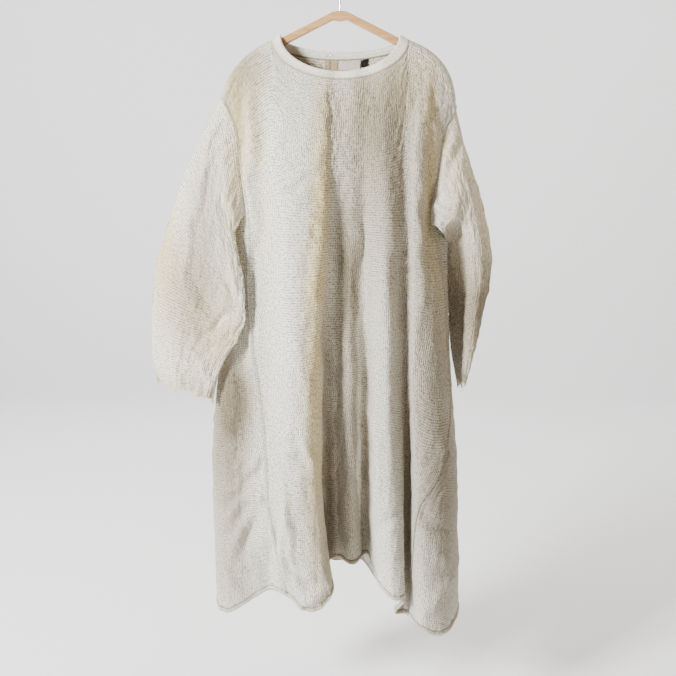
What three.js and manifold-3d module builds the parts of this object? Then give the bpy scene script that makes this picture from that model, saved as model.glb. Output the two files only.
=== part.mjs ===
// A long robe of heavy crinkled cotton, hanging on a wooden coat hanger.
// Millimetres, +Z up, the wearer's front towards -Y. The origin is the inside
// top of the hanger's hook, the point that a rail touches.
//
// The body is one closed drape of cloth, worked out from a table of folds that
// run from chest to hem, and cut into a front and two back halves along its
// seams. Above the chest the cloth is drawn up to the shoulders and the neck.
// Each sleeve is a tube of tilted sections that starts at the armhole.

import * as THREE from 'three';
import Module from 'manifold-3d';
import { mergeVertices } from 'three/addons/utils/BufferGeometryUtils.js';

const wasm = await Module();
wasm.setup();

// ---- driving dimensions ----------------------------------------------------

const CLOTH = 2.0;              // thickness of the cloth
const SEAM_GAP = 0.3;           // between two pieces that are sewn together
const ARMHOLE_GAP = 0.5;        // the same, where a sleeve turns away from its seam
const LAY_GAP = 0.3;            // between a piece and the panel it lies on

const CHEST = -357;             // heights at which the folds are given
const HIP = -765;
const THIGH = -1045;
const RIDGE_ROUND = 13;         // radius of the cloth over the hanger's arms

const NECK = {
  halfWidth: 136, cornerZ: -141,        // where the neck seam meets the shoulder
  frontDrop: 78, backDrop: 36,          // how far the seam hangs below that
  rimHalfWidth: 118, rimZ: -131,        // the band's upper rim at the shoulder
  rimFrontDrop: 73, rimBackDrop: 30,
  rimDepth: 0.92,                       // the rim's y as a share of the seam's
  share: 0.5,                           // part of the top edge that is the neck
};

// The shoulder is a curve from the neck over the hanger's end to the sleeve head.
const SHOULDERS = {
  left: { bend: { x: -224, z: -180 }, end: { x: -240, z: -257 } },
  right: { bend: { x: 234, z: -172 }, end: { x: 235, z: -275 } },
};

// Rows of the body's cloth: from 0 at its top edge over 1 at the underarm's height
// to 2 at the hem, from distances along the armhole and below it.
const UNDERARM = { left: -487, right: -505 };
const ARMHOLE_STEPS = [0, 1.6, 5, 11, 24, 46, 76, 112, 152, 188, 214, 230];
const SKIRT_STEPS = [60, 140, 230, 320, 400, 460, 510, 560, 610, 670, 740, 800, 850];
const ARMHOLE_ROWS = ARMHOLE_STEPS.length - 1;
const ROWS = [
  ...ARMHOLE_STEPS.map((d) => d / ARMHOLE_STEPS.at(-1)),
  ...SKIRT_STEPS.map((d) => 1 + d / SKIRT_STEPS.at(-1)),
];

// One row for each fold, in order round the body: x and y at chest, hip, thigh
// and hem, and the height of the hem there.
const FOLDS = [
  { name: 'left side', x: [-212, -253, -275, -272], y: [2, -5, -10, -15], hem: -1336 },
  { name: 'left front roll', x: [-208, -228, -243, -240], y: [-14, -36, -52, -60], hem: -1340 },
  { name: 'seam hollow', x: [-202, -190, -199, -160], y: [-20, -48, -62, -66], hem: -1290 },
  { name: 'lobe rise', x: [-156, -142, -150, -116], y: [-36, -66, -84, -94], hem: -1283 },
  { name: 'first flute', x: [-109, -101, -104, -67], y: [-46, -92, -104, -112], hem: -1311 },
  { name: 'first flute shoulder', x: [-60, -65, -62, -34], y: [-48, -88, -104, -108], hem: -1302 },
  { name: 'first flute edge', x: [-24, -38, -40, -15], y: [-47, -66, -76, -86], hem: -1272 },
  { name: 'first recess', x: [-14, -28, -35, -27], y: [-41, -28, -8, 30], hem: -1264 },
  { name: 'first recess end', x: [0, -4, -4, 0], y: [-40, -20, 5, 46], hem: -1262 },
  { name: 'small flute', x: [22, 21, 25, 29], y: [-44, -38, -20, 6], hem: -1257 },
  { name: 'second recess', x: [48, 52, 54, 62], y: [-40, -20, 8, 46], hem: -1254 },
  { name: 'second flute left', x: [68, 68, 72, 84], y: [-46, -58, -60, -46], hem: -1282 },
  { name: 'second flute', x: [89, 95, 102, 113], y: [-54, -84, -88, -82], hem: -1300 },
  { name: 'second flute right', x: [113, 121, 130, 141], y: [-50, -62, -66, -64], hem: -1309 },
  { name: 'gap hollow', x: [129, 134, 138, 122], y: [-44, -48, -40, -20], hem: -1362 },
  { name: 'gap', x: [141, 142, 150, 150], y: [-46, -56, -42, -6], hem: -1372 },
  { name: 'third flute left', x: [153, 150, 156, 168], y: [-52, -77, -88, -98], hem: -1354 },
  { name: 'third flute', x: [175, 186, 192, 205], y: [-44, -70, -96, -110], hem: -1368 },
  { name: 'third flute right', x: [197, 212, 228, 240], y: [-30, -45, -74, -80], hem: -1364 },
  { name: 'right side', x: [214, 231, 254, 262], y: [0, -4, -10, -18], hem: -1340 },
  { name: 'back right roll', x: [208, 228, 240, 238], y: [26, 48, 56, 60], hem: -1336 },
  { name: 'back flute right', x: [160, 172, 178, 182], y: [36, 84, 108, 124], hem: -1350 },
  { name: 'back hollow right', x: [112, 116, 112, 106], y: [37, 60, 70, 76], hem: -1352 },
  { name: 'back flute inner right', x: [66, 64, 58, 50], y: [42, 86, 116, 136], hem: -1304 },
  { name: 'back hollow middle', x: [18, 12, 4, -6], y: [41, 62, 78, 92], hem: -1288 },
  { name: 'centre back', x: [-20, -24, -34, -50], y: [42, 84, 112, 134], hem: -1304 },
  { name: 'back hollow left', x: [-74, -80, -92, -110], y: [40, 60, 70, 80], hem: -1338 },
  { name: 'back flute left', x: [-130, -142, -156, -170], y: [40, 84, 108, 126], hem: -1352 },
  { name: 'back left roll', x: [-196, -220, -246, -246], y: [26, 46, 54, 58], hem: -1340 },
];
const CENTRE_BACK = 25;         // the fold that the back's seam follows
const SLIT_W = -0.029;          // the neck slit's place on the top edge
const SLIT_TOP = -176;          // height of the slit's upper end
const FAR_BELOW = -2000;        // lower than any hem

// Where each side seam lies at a height, counted in folds from the left side.
const LEFT_SEAM = {
  z: [-1300, -1110, -1010, -890, -760, -600, -357],
  fold: [3.0, 2.9, 2.85, 2.6, 2.15, 1.95, 1.8],
};
const RIGHT_SEAM = {
  z: [-1330, -1240, -1090, -1020, -920, -860, -357],
  fold: [15.2, 15.5, 16.3, 17.4, 18.4, 18.7, 18.5],
};
const ARMHOLE_SPREAD = { left: 2.4, right: 1.8 };   // folds from front to back edge

// The cloth is pinched in under the arms: how far, how high up, over what height.
// Behind the arm, at `behind` and further back, it is let out sooner below that.
const PINCH = {
  left: 10, right: 30, z: -500, reach: 90, reachBehind: 34, behind: 24, from: 140, over: 60,
};

// Sleeve sections from the armhole to the torn cuff: `at` is the share of the
// length, `outer` and `inner` the x and z of the section's two ends.
const SLEEVES = {
  left: {
    sections: [
      { at: 0, outer: [-240, -257], inner: [-205, -487] },
      { at: 0.12, outer: [-266, -301], inner: [-213, -518] },
      { at: 0.26, outer: [-302, -368], inner: [-207, -560] },
      { at: 0.4, outer: [-331, -433], inner: [-198, -605] },
      { at: 0.54, outer: [-362, -516], inner: [-195, -656] },
      { at: 0.67, outer: [-385, -591], inner: [-194, -693] },
      { at: 0.8, outer: [-399, -685], inner: [-213, -739] },
      { at: 0.9, outer: [-403, -762], inner: [-247, -800] },
      { at: 1, outer: [-392, -835], inner: [-268, -865] },
    ],
    // share of the way from outer to inner end, and y, at eight points round
    // the section: outer, ridge, front, inner front, inner end, tuck, back, outer back
    profiles: [
      { at: 0.12, along: [0, 0.18, 0.5, 0.85, 1, 0.8, 0.55, 0.22], y: [0, -18, -34, -44, -42, 0, 26, 19] },
      { at: 0.26, along: [0, 0.26, 0.56, 0.88, 1, 0.8, 0.55, 0.2], y: [10, -28, -44, -54, -50, -34, 27, 32] },
      { at: 0.5, along: [0, 0.33, 0.62, 0.9, 1, 0.72, 0.5, 0.2], y: [20, -36, -54, -64, -60, -46, 34, 44] },
      { at: 0.8, along: [0, 0.33, 0.62, 0.9, 1, 0.74, 0.5, 0.2], y: [20, -34, -50, -62, -58, -44, 30, 42] },
      { at: 1, along: [0, 0.3, 0.6, 0.9, 1, 0.8, 0.5, 0.15], y: [12, -30, -44, -46, -38, -26, 22, 30] },
    ],
  },
  right: {
    sections: [
      { at: 0, outer: [235, -275], inner: [188, -505] },
      { at: 0.12, outer: [250, -333], inner: [201, -512] },
      { at: 0.24, outer: [268, -389], inner: [212, -520] },
      { at: 0.36, outer: [288, -445], inner: [222, -545] },
      { at: 0.49, outer: [304, -511], inner: [226, -590] },
      { at: 0.61, outer: [317, -585], inner: [230, -640] },
      { at: 0.72, outer: [310, -648], inner: [234, -700] },
      { at: 0.82, outer: [299, -703], inner: [238, -755] },
      { at: 0.92, outer: [287, -772], inner: [245, -805] },
      { at: 1, outer: [271, -833], inner: [254, -847] },
    ],
    profiles: [
      { at: 0.12, along: [0, 0.18, 0.5, 0.85, 1, 0.82, 0.55, 0.22], y: [0, -20, -38, -42, -34, 4, 30, 18] },
      { at: 0.24, along: [0, 0.2, 0.5, 0.82, 1, 0.95, 0.62, 0.2], y: [0, -28, -46, -46, -28, 16, 40, 26] },
      { at: 0.4, along: [0, 0.28, 0.56, 0.66, 1, 0.82, 0.46, 0.08], y: [0, -36, -30, 8, 38, 57, 50, 24] },
      { at: 0.8, along: [0, 0.28, 0.58, 0.64, 1, 0.82, 0.46, 0.08], y: [0, -34, -24, 14, 38, 55, 50, 22] },
      { at: 1, along: [0, 0.3, 0.7, 0.8, 1, 0.8, 0.5, 0.08], y: [0, -18, -14, 0, 20, 34, 30, 14] },
    ],
  },
};
const SLEEVE_ROUND = 28;        // points round a sleeve
const SLEEVE_ROWS = 16;         // rows from armhole to cuff
const HEAD_BLEND = 0.13;        // share of a sleeve that eases out of the armhole
const RAGGED = [[5, 4.5, 0.6], [11, 3, 2.1], [17, 2, 4.0]];   // waves, height, phase

// The band's section: share of its height and of its thickness, from the seam up
// the outside, over the rim and down the inside.
const BAND = {
  thick: 3.6, middle: -1,
  section: [[0.05, 0.46], [0.5, 0.6], [0.9, 0.46], [1, 0], [0.9, -0.46], [0.5, -0.6], [0.05, -0.46]],
};

// What lies inside the back neck: x from and to, and how far down it starts and ends.
const PATCHES = [
  { name: 'slit_tape_right', panel: 'backRight', x: [-4, -18.6], down: [1.5, 108], cells: [2, 8] },
  { name: 'slit_tape_left', panel: 'backLeft', x: [-20.4, -31], down: [1.5, 108], cells: [2, 8] },
  { name: 'neck_label', panel: 'backRight', x: [43, -2.5], down: [2, 28], cells: [6, 3] },
  { name: 'size_tab', panel: 'backRight', x: [58, 44.5], down: [2, 16], cells: [2, 2] },
];
const PATCH = { thick: 0.7, gap: 0.5 };

const FASTENER = { wire: 0.4, ring: 2.2, z: -169, hookFrom: -29, eyeX: -16.6 };

const HANGER = {
  thick: 12, bevel: 2.6, tall: 16, clear: 5.2, armShare: 0.5, blockX: 186, blockFoot: -219,
  neckZ: -138, apexZ: -86, apexHalf: 14, apexDrop: 2, apexExtra: 4, barRadius: 6.5, barZ: -206,
  armSteps: 6, endDrop: 10, endTaper: 4, underShare: 0.985,
};
const HOOK = { wire: 1.9, inside: 17, throat: -58, seatDepth: 16, fit: 0.3 };

// Frayed knots of torn thread on the cuffs: where round the cuff, size, threads.
const KNOTS = [
  { name: 'frayed_knot_left_outer', side: 'left', at: 0.0, below: 2.2, radius: 5.5, threads: 7, reach: 26 },
  { name: 'frayed_knot_left_inner', side: 'left', at: 0.47, below: 3.5, radius: 5, threads: 6, reach: 14 },
  { name: 'frayed_knot_right', side: 'right', at: 0.46, below: 5.2, radius: 4.5, threads: 5, reach: 12 },
];
const KNOT = { wide: 0.9, deep: 0.8, droop: 0.3 };   // shares of its radius
// Threads: shortest as a share of their reach; spread and curl as shares of the knot.
const THREAD = {
  radius: 0.6, sides: 3, bends: 3, shortest: 0.55, root: 0.2, spread: 0.75, curl: 1.2, turn: 2.4,
};

// ---- small helpers ---------------------------------------------------------

const mix = (a, b, t) => a + (b - a) * t;
const clamp = (v, lo = 0, hi = 1) => Math.min(hi, Math.max(lo, v));
const easeOut = (t) => 1 - (1 - t) ** 2;
const smooth = (t) => t * t * (3 - 2 * t);
const add = (a, b, k = 1) => a.map((v, i) => v + b[i] * k);
const sub = (a, b) => a.map((v, i) => v - b[i]);
const cross = (a, b) => [
  a[1] * b[2] - a[2] * b[1], a[2] * b[0] - a[0] * b[2], a[0] * b[1] - a[1] * b[0]];
const unit = (a) => {
  const length = Math.hypot(...a);
  return a.map((v) => v / length);
};

// A curve through values at rising knots that never overshoots them.
function through(knots, values, at) {
  const last = knots.length - 1;
  if (at <= knots[0]) return values[0];
  if (at >= knots[last]) return values[last];
  let i = 0;
  while (at > knots[i + 1]) i += 1;
  const slope = (k) => (values[k + 1] - values[k]) / (knots[k + 1] - knots[k]);
  const tangent = (k) => {
    if (k === 0) return slope(0);
    if (k === last) return slope(last - 1);
    const [a, b] = [slope(k - 1), slope(k)];
    return a * b <= 0 ? 0 : (2 * a * b) / (a + b);
  };
  const span = knots[i + 1] - knots[i];
  const t = (at - knots[i]) / span;
  return values[i] * (1 + 2 * t) * (1 - t) ** 2 + values[i + 1] * t * t * (3 - 2 * t)
    + span * (tangent(i) * t * (1 - t) ** 2 - tangent(i + 1) * t * t * (1 - t));
}

// A smooth closed curve through a ring of numbers, at a place counted in points.
function roundRing(count, value, at) {
  const i = Math.floor(at);
  const t = at - i;
  const [p, q, r, s] = [-1, 0, 1, 2].map((k) => value((i + k + 2 * count) % count));
  return 0.5 * (2 * q + (r - p) * t + (2 * p - 5 * q + 4 * r - s) * t * t
    + (3 * q - 3 * r + s - p) * t ** 3);
}

const material = (color, roughness, metalness = 0) =>
  new THREE.MeshStandardMaterial({ color, roughness, metalness, side: THREE.DoubleSide });
const COTTON = material(0xe4dccb, 0.95);
const TAPE = material(0xcdb896, 0.9);
const LABEL = material(0xe9e1d6, 0.8);
const BLACK_TAPE = material(0x1c1b1b, 0.8);
const WOOD = material(0xc98a4b, 0.45);
const STEEL = material(0xb9bbbd, 0.3, 1);

const robe = new THREE.Group();
function put(name, geometry, finish) {
  const mesh = new THREE.Mesh(geometry, finish);
  mesh.name = name;
  robe.add(mesh);
}

function geometryOf(points, faces) {
  const geometry = new THREE.BufferGeometry();
  geometry.setAttribute('position', new THREE.BufferAttribute(new Float32Array(points.flat()), 3));
  geometry.setIndex(faces.flat());
  return geometry;
}

// ---- cloth walls -----------------------------------------------------------

// The two faces of a sheet of quads, joined round its open edges. `outer` and
// `inner` are grids of points, rows of columns, wound so that faces point out.
function closedWall(outer, inner, isTube) {
  const rows = outer.length;
  const columns = outer[0].length;
  const points = [...outer.flat(), ...inner.flat()];
  const lift = rows * columns;
  const id = (r, c) => r * columns + (c % columns);
  const faces = [];
  const quad = (a, b, c, d) => faces.push([a, b, c], [a, c, d]);
  const distance = (a, b) => Math.hypot(...sub(points[a], points[b]));
  const spans = isTube ? columns : columns - 1;
  for (let r = 0; r < rows - 1; r += 1) {
    for (let c = 0; c < spans; c += 1) {
      // both faces are split alike, along the shorter diagonal
      let [a, b, d, e] = [id(r, c), id(r + 1, c), id(r + 1, c + 1), id(r, c + 1)];
      if (distance(a, d) > distance(b, e)) [a, b, d, e] = [b, d, e, a];
      quad(a, b, d, e);
      quad(lift + a, lift + e, lift + d, lift + b);
    }
  }
  for (let c = 0; c < spans; c += 1) {
    const [a, b] = [id(0, c), id(0, c + 1)];
    quad(a, b, lift + b, lift + a);
    const [d, e] = [id(rows - 1, c), id(rows - 1, c + 1)];
    quad(e, d, lift + d, lift + e);
  }
  if (!isTube) {
    for (let r = 0; r < rows - 1; r += 1) {
      const [a, b] = [id(r, 0), id(r + 1, 0)];
      quad(a, lift + a, lift + b, b);
      const [d, e] = [id(r, columns - 1), id(r + 1, columns - 1)];
      quad(d, e, lift + e, lift + d);
    }
  }
  return geometryOf(points, faces);
}

// The outward direction of a surface point(u, v), from its neighbours.
function outward(point, u, v, isTube) {
  const step = 0.0015;
  const [u0, u1] = isTube ? [u - step, u + step] : [Math.max(u - step, 0), Math.min(u + step, 1)];
  const [v0, v1] = [Math.max(v - step / 100, 0), v + step / 100];
  return unit(cross(sub(point(u, v1), point(u, v0)), sub(point(u1, v), point(u0, v))));
}

// A wall of cloth on point(u, v), with its open edges drawn in by `inset`.
// `topFacing` gives the outward direction of the first row, where it follows a seam.
function clothWall(point, columns, rows, { isTube = false, inset = SEAM_GAP / 2, topFacing } = {}) {
  const across = isTube ? columns : columns + 1;
  const grid = rows.map((v) => Array.from({ length: across }, (_, c) => point(c / columns, v)));
  const facing = rows.map((v, r) => Array.from({ length: across }, (_, c) =>
    (topFacing && r === 0 ? topFacing(c / columns) : outward(point, c / columns, v, isTube))));
  const outer = grid.map((row, r) => row.map((p, c) => {
    let moved = p;
    const draw = (towards) => { moved = add(moved, unit(sub(towards, p)), inset); };
    if (!isTube && c === 0) draw(row[1]);
    if (!isTube && c === across - 1) draw(row[c - 1]);
    if (r === 0) draw(grid[1][c]);
    return moved;
  }));
  const inner = outer.map((row, r) => row.map((p, c) => add(p, facing[r][c], -CLOTH)));
  return closedWall(outer, inner, isTube);
}

// ---- the body --------------------------------------------------------------

// How far the cloth of the sides is drawn in at a place and a height.
function pinch(x, y, z) {
  const depth = x < 0 ? PINCH.left : PINCH.right;
  const back = z < PINCH.z ? smooth(clamp(y / PINCH.behind)) : 0;
  const near = Math.exp(-(((z - PINCH.z) / mix(PINCH.reach, PINCH.reachBehind, back)) ** 2));
  return Math.sign(x) * depth * near * smooth(clamp((Math.abs(x) - PINCH.from) / PINCH.over));
}

const hemAt = (fold) => roundRing(FOLDS.length, (i) => FOLDS[i].hem, fold);

// Plan position of the draped cloth at a fold and a height, from the chest down.
function drape(fold, z) {
  const at = (key) => roundRing(FOLDS.length, (i) => {
    const { hem, [key]: places } = FOLDS[i];
    return through([hem, THIGH, HIP, CHEST], [...places].reverse(), z);
  }, fold);
  const [x, y] = [at('x'), at('y')];
  return { x: x - pinch(x, y, z), y };
}

// A point of the top edge, w from -1 at the left shoulder end over 0 at the
// middle of the neck to 1 at the right one. `ridge` is the shoulder's height.
function topEdge(w, drop) {
  if (Math.abs(w) <= NECK.share) {
    const angle = (Math.PI / 2) * Math.sin((Math.PI / 2) * (w / NECK.share));
    return {
      x: NECK.halfWidth * Math.sin(angle), z: NECK.cornerZ - drop * Math.cos(angle), ridge: NECK.cornerZ,
    };
  }
  const { bend, end } = w < 0 ? SHOULDERS.left : SHOULDERS.right;
  const s = (Math.abs(w) - NECK.share) / (1 - NECK.share);
  const bezier = (a, b, c) => a * (1 - s) ** 2 + 2 * b * s * (1 - s) + c * s * s;
  const z = bezier(NECK.cornerZ, bend.z, end.z);
  return { x: bezier(Math.sign(w) * NECK.halfWidth, bend.x, end.x), z, ridge: z };
}

// Draws the cloth up from the chest to its top edge and over the shoulder.
function yoke(top, folded, z, side) {
  const below = top.ridge - z;
  const toChest = easeOut(clamp(below / (top.ridge - CHEST)));
  const rounding = RIDGE_ROUND * Math.sqrt(1 - (1 - clamp(below / RIDGE_ROUND)) ** 2);
  const fromEdge = easeOut(clamp((top.z - z) / (top.z - CHEST)));
  return [
    mix(top.x, folded.x, fromEdge),
    side * rounding + (folded.y - side * RIDGE_ROUND) * toChest,
    z,
  ];
}

// How far the back's armhole edge stands off the seam's line, in folds.
function armholeSpread(side, v) {
  return ARMHOLE_SPREAD[side] * Math.sqrt(clamp(1 - (2 * v - 1) ** 2));
}

const leftSeam = (z) => through(LEFT_SEAM.z, LEFT_SEAM.fold, z);
const rightSeam = (z) => through(RIGHT_SEAM.z, RIGHT_SEAM.fold, z);

// Each panel: its columns of cloth, the columns at which the top edge has a given w,
// and the fold that each of its seams follows. The neck's corners are on columns.
// `neck` is the part of a back panel's width that lies along the neck.
const PANELS = {
  front: {
    side: -1, drop: NECK.frontDrop, columns: 52,
    stops: {
      column: [0, 5, 8, 13, 19, 26, 32, 36, 39, 52],
      w: [-1, -NECK.share, -0.22, -0.05, 0, 0.09, 0.16, 0.28, NECK.share, 1],
    },
    from: leftSeam, to: rightSeam,
  },
  backRight: {
    side: 1, drop: NECK.backDrop, columns: 24, neck: [0.5, 1],
    stops: { column: [0, 11, 13, 16, 20, 24], w: [1, NECK.share, 0.21, 0.12, 0.035, SLIT_W] },
    from: (z, v) => rightSeam(z) + armholeSpread('right', v), to: () => CENTRE_BACK,
  },
  backLeft: {
    side: 1, drop: NECK.backDrop, columns: 24, neck: [0, 0.375],
    stops: { column: [0, 4, 7, 9, 24], w: [SLIT_W, -0.12, -0.21, -NECK.share, -1] },
    from: () => CENTRE_BACK, to: (z, v) => FOLDS.length + leftSeam(z) - armholeSpread('left', v),
  },
};
const topPlace = (panel, u) => through(panel.stops.column, panel.stops.w, u * panel.columns);

// A point of a panel: u from its first seam to its last, v as in ROWS.
function panelPoint(panel, u, v) {
  const w = topPlace(panel, u);
  const top = topEdge(w, panel.drop);
  const underarm = mix(UNDERARM.left, UNDERARM.right, (w + 1) / 2);
  const hem = hemAt(mix(panel.from(FAR_BELOW, 2), panel.to(FAR_BELOW, 2), u));
  const z = v < 1 ? mix(top.z, underarm, v) : mix(underarm, hem, v - 1);
  const fold = mix(panel.from(z, v), panel.to(z, v), u);
  const folded = drape(fold, Math.min(z, CHEST));
  return z < CHEST ? [folded.x, folded.y, z] : yoke(top, folded, z, panel.side);
}

function makeBody() {
  const names = { front: 'front_panel', backRight: 'back_right', backLeft: 'back_left' };
  for (const [key, panel] of Object.entries(PANELS)) {
    put(names[key], clothWall((u, v) => panelPoint(panel, u, v), panel.columns, ROWS), COTTON);
  }
}

// ---- the sleeves -----------------------------------------------------------

// The armhole as a loop, down the front edge and up the back edge: each entry is
// a point just outside the body's edge and the direction that the body faces there.
function armhole(side) {
  const edge = (panel, u) => ROWS.slice(0, ARMHOLE_ROWS + 1).map((v, row) => {
    const point = (a, b) => panelPoint(panel, a, b);
    const here = point(u, v);
    const away = unit(sub(here, point(mix(u, 0.5, 2 / panel.columns), v)));
    const isUnderarm = row === ARMHOLE_ROWS;
    return [...add(here, isUnderarm ? [0, 0, 1] : away, ARMHOLE_GAP), ...outward(point, u, v)];
  });
  const front = edge(PANELS.front, side === 'left' ? 0 : 1);
  const back = side === 'left' ? edge(PANELS.backLeft, 1) : edge(PANELS.backRight, 0);
  return [...front, ...back.slice(1, -1).reverse()];
}

// The point of a closed chain of points, at a share of its front or back half.
function alongChain(chain, share) {
  const half = ARMHOLE_ROWS;
  const part = share <= 0.5 ? chain.slice(0, half + 1) : [...chain.slice(half), chain[0]];
  const at = share <= 0.5 ? share * 2 : share * 2 - 1;
  const lengths = [0];
  for (let i = 1; i < part.length; i += 1) {
    lengths.push(lengths[i - 1] + Math.hypot(...sub(part[i], part[i - 1]).slice(0, 3)));
  }
  const reach = at * lengths.at(-1);
  const i = clamp(lengths.findIndex((l) => l >= reach) - 1, 0, part.length - 2);
  const t = (reach - lengths[i]) / (lengths[i + 1] - lengths[i]);
  return part[i].map((p, k) => mix(p, part[i + 1][k], t));
}

// A point of a sleeve: u once round from the outer end, v from armhole to cuff.
function sleevePoint(side, chain, u, v) {
  const { sections, profiles } = SLEEVES[side];
  const share = u - Math.floor(u);
  const at = clamp(v);
  const section = (end, axis) =>
    through(sections.map((s) => s.at), sections.map((s) => s[end][axis]), at);
  const ring = (key) => roundRing(8, (i) =>
    through(profiles.map((p) => p.at), profiles.map((p) => p[key][i]), at), share * 8);
  const along = ring('along');
  const ragged = RAGGED.reduce((sum, [waves, height, phase]) =>
    sum + height * Math.sin(2 * Math.PI * waves * share + phase), 0);
  const free = [
    mix(section('outer', 0), section('inner', 0), along),
    ring('y'),
    mix(section('outer', 1), section('inner', 1), along) + ragged * smooth(clamp((v - 0.9) * 10)),
  ];
  const seam = alongChain(chain, share).slice(0, 3);
  const blend = smooth(clamp(v / HEAD_BLEND));
  return seam.map((p, k) => mix(p, free[k], blend));
}

function makeSleeve(side) {
  const chain = armhole(side);
  const rows = Array.from({ length: SLEEVE_ROWS + 1 }, (_, r) => (r / SLEEVE_ROWS) ** 1.15);
  // the right sleeve runs round the other way, so that its faces point out too
  const turn = side === 'left' ? 1 : -1;
  const point = (u, v) => sleevePoint(side, chain, turn * u, v);
  const topFacing = (u) => unit(alongChain(chain, turn * u - Math.floor(turn * u)).slice(3));
  const options = { isTube: true, inset: 0, topFacing };
  put(`sleeve_${side}`, clothWall(point, SLEEVE_ROUND, rows, options), COTTON);
}

// ---- neck band, tapes and labels -------------------------------------------

// A closed solid swept through rings of points, with flat ends.
function sweep(rings) {
  const count = rings[0].length;
  const faces = [];
  for (let r = 0; r < rings.length - 1; r += 1) {
    for (let i = 0; i < count; i += 1) {
      const j = (i + 1) % count;
      const [a, b] = [r * count, (r + 1) * count];
      faces.push([a + i, a + j, b + j], [a + i, b + j, b + i]);
    }
  }
  const last = (rings.length - 1) * count;
  for (let i = 1; i < count - 1; i += 1) {
    faces.push([0, i + 1, i], [last, last + i, last + i + 1]);
  }
  return geometryOf(rings.flat(), faces);
}

// The neck seam and the rim above it, from the slit round by the right shoulder.
function neckStations() {
  const { backRight, front, backLeft } = PANELS;
  const runs = [
    [backRight, 24, 12], [backRight, 11, 11], [front, 38, 6], [backLeft, 9, 0]];
  const stations = [];
  for (const [panel, from, to] of runs) {
    for (let column = from; column >= to; column -= 1) {
      const seam = panelPoint(panel, column / panel.columns, 0);
      const low = Math.sqrt(clamp(1 - (seam[0] / NECK.halfWidth) ** 2));
      const drop = panel === front ? NECK.rimFrontDrop : NECK.rimBackDrop;
      const rimX = seam[0] * (NECK.rimHalfWidth / NECK.halfWidth);
      stations.push({ seam, rim: [rimX, seam[1] * NECK.rimDepth, NECK.rimZ - drop * low] });
    }
  }
  return stations;
}

function makeNeckBand() {
  const stations = neckStations();
  const rings = stations.map(({ seam, rim }, i) => {
    const before = stations[Math.max(i - 1, 0)].seam;
    const after = stations[Math.min(i + 1, stations.length - 1)].seam;
    const up = sub(rim, seam);
    const facing = unit(cross(up, sub(after, before)));
    return BAND.section.map(([rise, side]) =>
      add(add(seam, up, rise), facing, BAND.middle + side * BAND.thick));
  });
  // the two ends stand apart at the slit
  const part = (ring, towards) => ring.map((p) => add(p, [towards, 0, 0], SEAM_GAP));
  rings[0] = part(rings[0], 1);
  rings[rings.length - 1] = part(rings.at(-1), -1);
  put('neck_band', sweep(rings), COTTON);
}

// The place across a back panel whose top edge has a given x near the neck.
function acrossAt(panel, x) {
  let [low, high] = panel.neck;
  for (let i = 0; i < 30; i += 1) {
    const middle = (low + high) / 2;
    if (topEdge(topPlace(panel, middle), panel.drop).x > x) low = middle;
    else high = middle;
  }
  return low;
}

function makePatch({ name, panel: key, x, down, cells }, finish) {
  const panel = PANELS[key];
  const [u0, u1] = [acrossAt(panel, x[0]), acrossAt(panel, x[1])];
  const toUnderarm = SLIT_TOP - UNDERARM.right;
  const [v0, v1] = [down[0] / toUnderarm, down[1] / toUnderarm];
  const point = (u, v) => panelPoint(panel, mix(u0, u1, u), mix(v0, v1, v));
  const layer = (depth) => Array.from({ length: cells[1] + 1 }, (_, r) =>
    Array.from({ length: cells[0] + 1 }, (__, c) => {
      const [u, v] = [c / cells[0], r / cells[1]];
      return add(point(u, v), outward(point, u, v), -depth);
    }));
  const lift = CLOTH + PATCH.gap;
  put(name, closedWall(layer(lift), layer(lift + PATCH.thick), false), finish);
}

// ---- hook and eye ----------------------------------------------------------

function wireAlong(points, radius, sides, steps) {
  const circle = new THREE.Shape(Array.from({ length: sides }, (_, i) => {
    const a = (2 * Math.PI * i) / sides;
    return new THREE.Vector2(radius * Math.cos(a), radius * Math.sin(a));
  }));
  const path = new THREE.CatmullRomCurve3(points.map((p) => new THREE.Vector3(...p)));
  return new THREE.ExtrudeGeometry(circle, { steps, extrudePath: path });
}

function makeFastener() {
  const { wire, ring, z, hookFrom, eyeX } = FASTENER;
  // y of the band's inner face at the middle of its height, at the slit
  const { seam } = neckStations()[0];
  const middle = (seam[1] * (1 + NECK.rimDepth)) / 2;
  const widest = Math.max(...BAND.section.map(([, side]) => side));
  const onFace = middle + BAND.middle - BAND.thick * widest - LAY_GAP - wire;
  const eye = new THREE.TorusGeometry(ring, wire, 4, 12);
  eye.rotateX(Math.PI / 2);
  eye.translate(eyeX, onFace, z);
  put('eye', eye, STEEL);
  const left = eyeX - ring;
  const route = [
    [hookFrom, onFace, z - 1.2], [left - 4, onFace, z - 0.6], [left - 1.6, onFace - 0.5, z],
    [left, onFace - 1.25, z], [left + 1.4, onFace - 1.0, z], [left + 1.9, onFace - 0.1, z]];
  put('hook', wireAlong(route, wire, 5, 12), STEEL);
}

// ---- coat hanger -----------------------------------------------------------

// The arms' upper outline on one side, a little below the cloth that rests on it.
function armTop(sign) {
  const last = NECK.share + (1 - NECK.share) * HANGER.armShare;
  return Array.from({ length: HANGER.armSteps + 1 }, (_, i) => {
    const w = sign * mix(NECK.share + 0.001, last, i / HANGER.armSteps);
    const [here, next] = [topEdge(w, 0), topEdge(w + sign * 0.01, 0)];
    const slope = unit([next.x - here.x, next.z - here.z]);
    return [here.x + sign * slope[1] * HANGER.clear, here.z - Math.abs(slope[0]) * HANGER.clear];
  });
}

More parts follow.
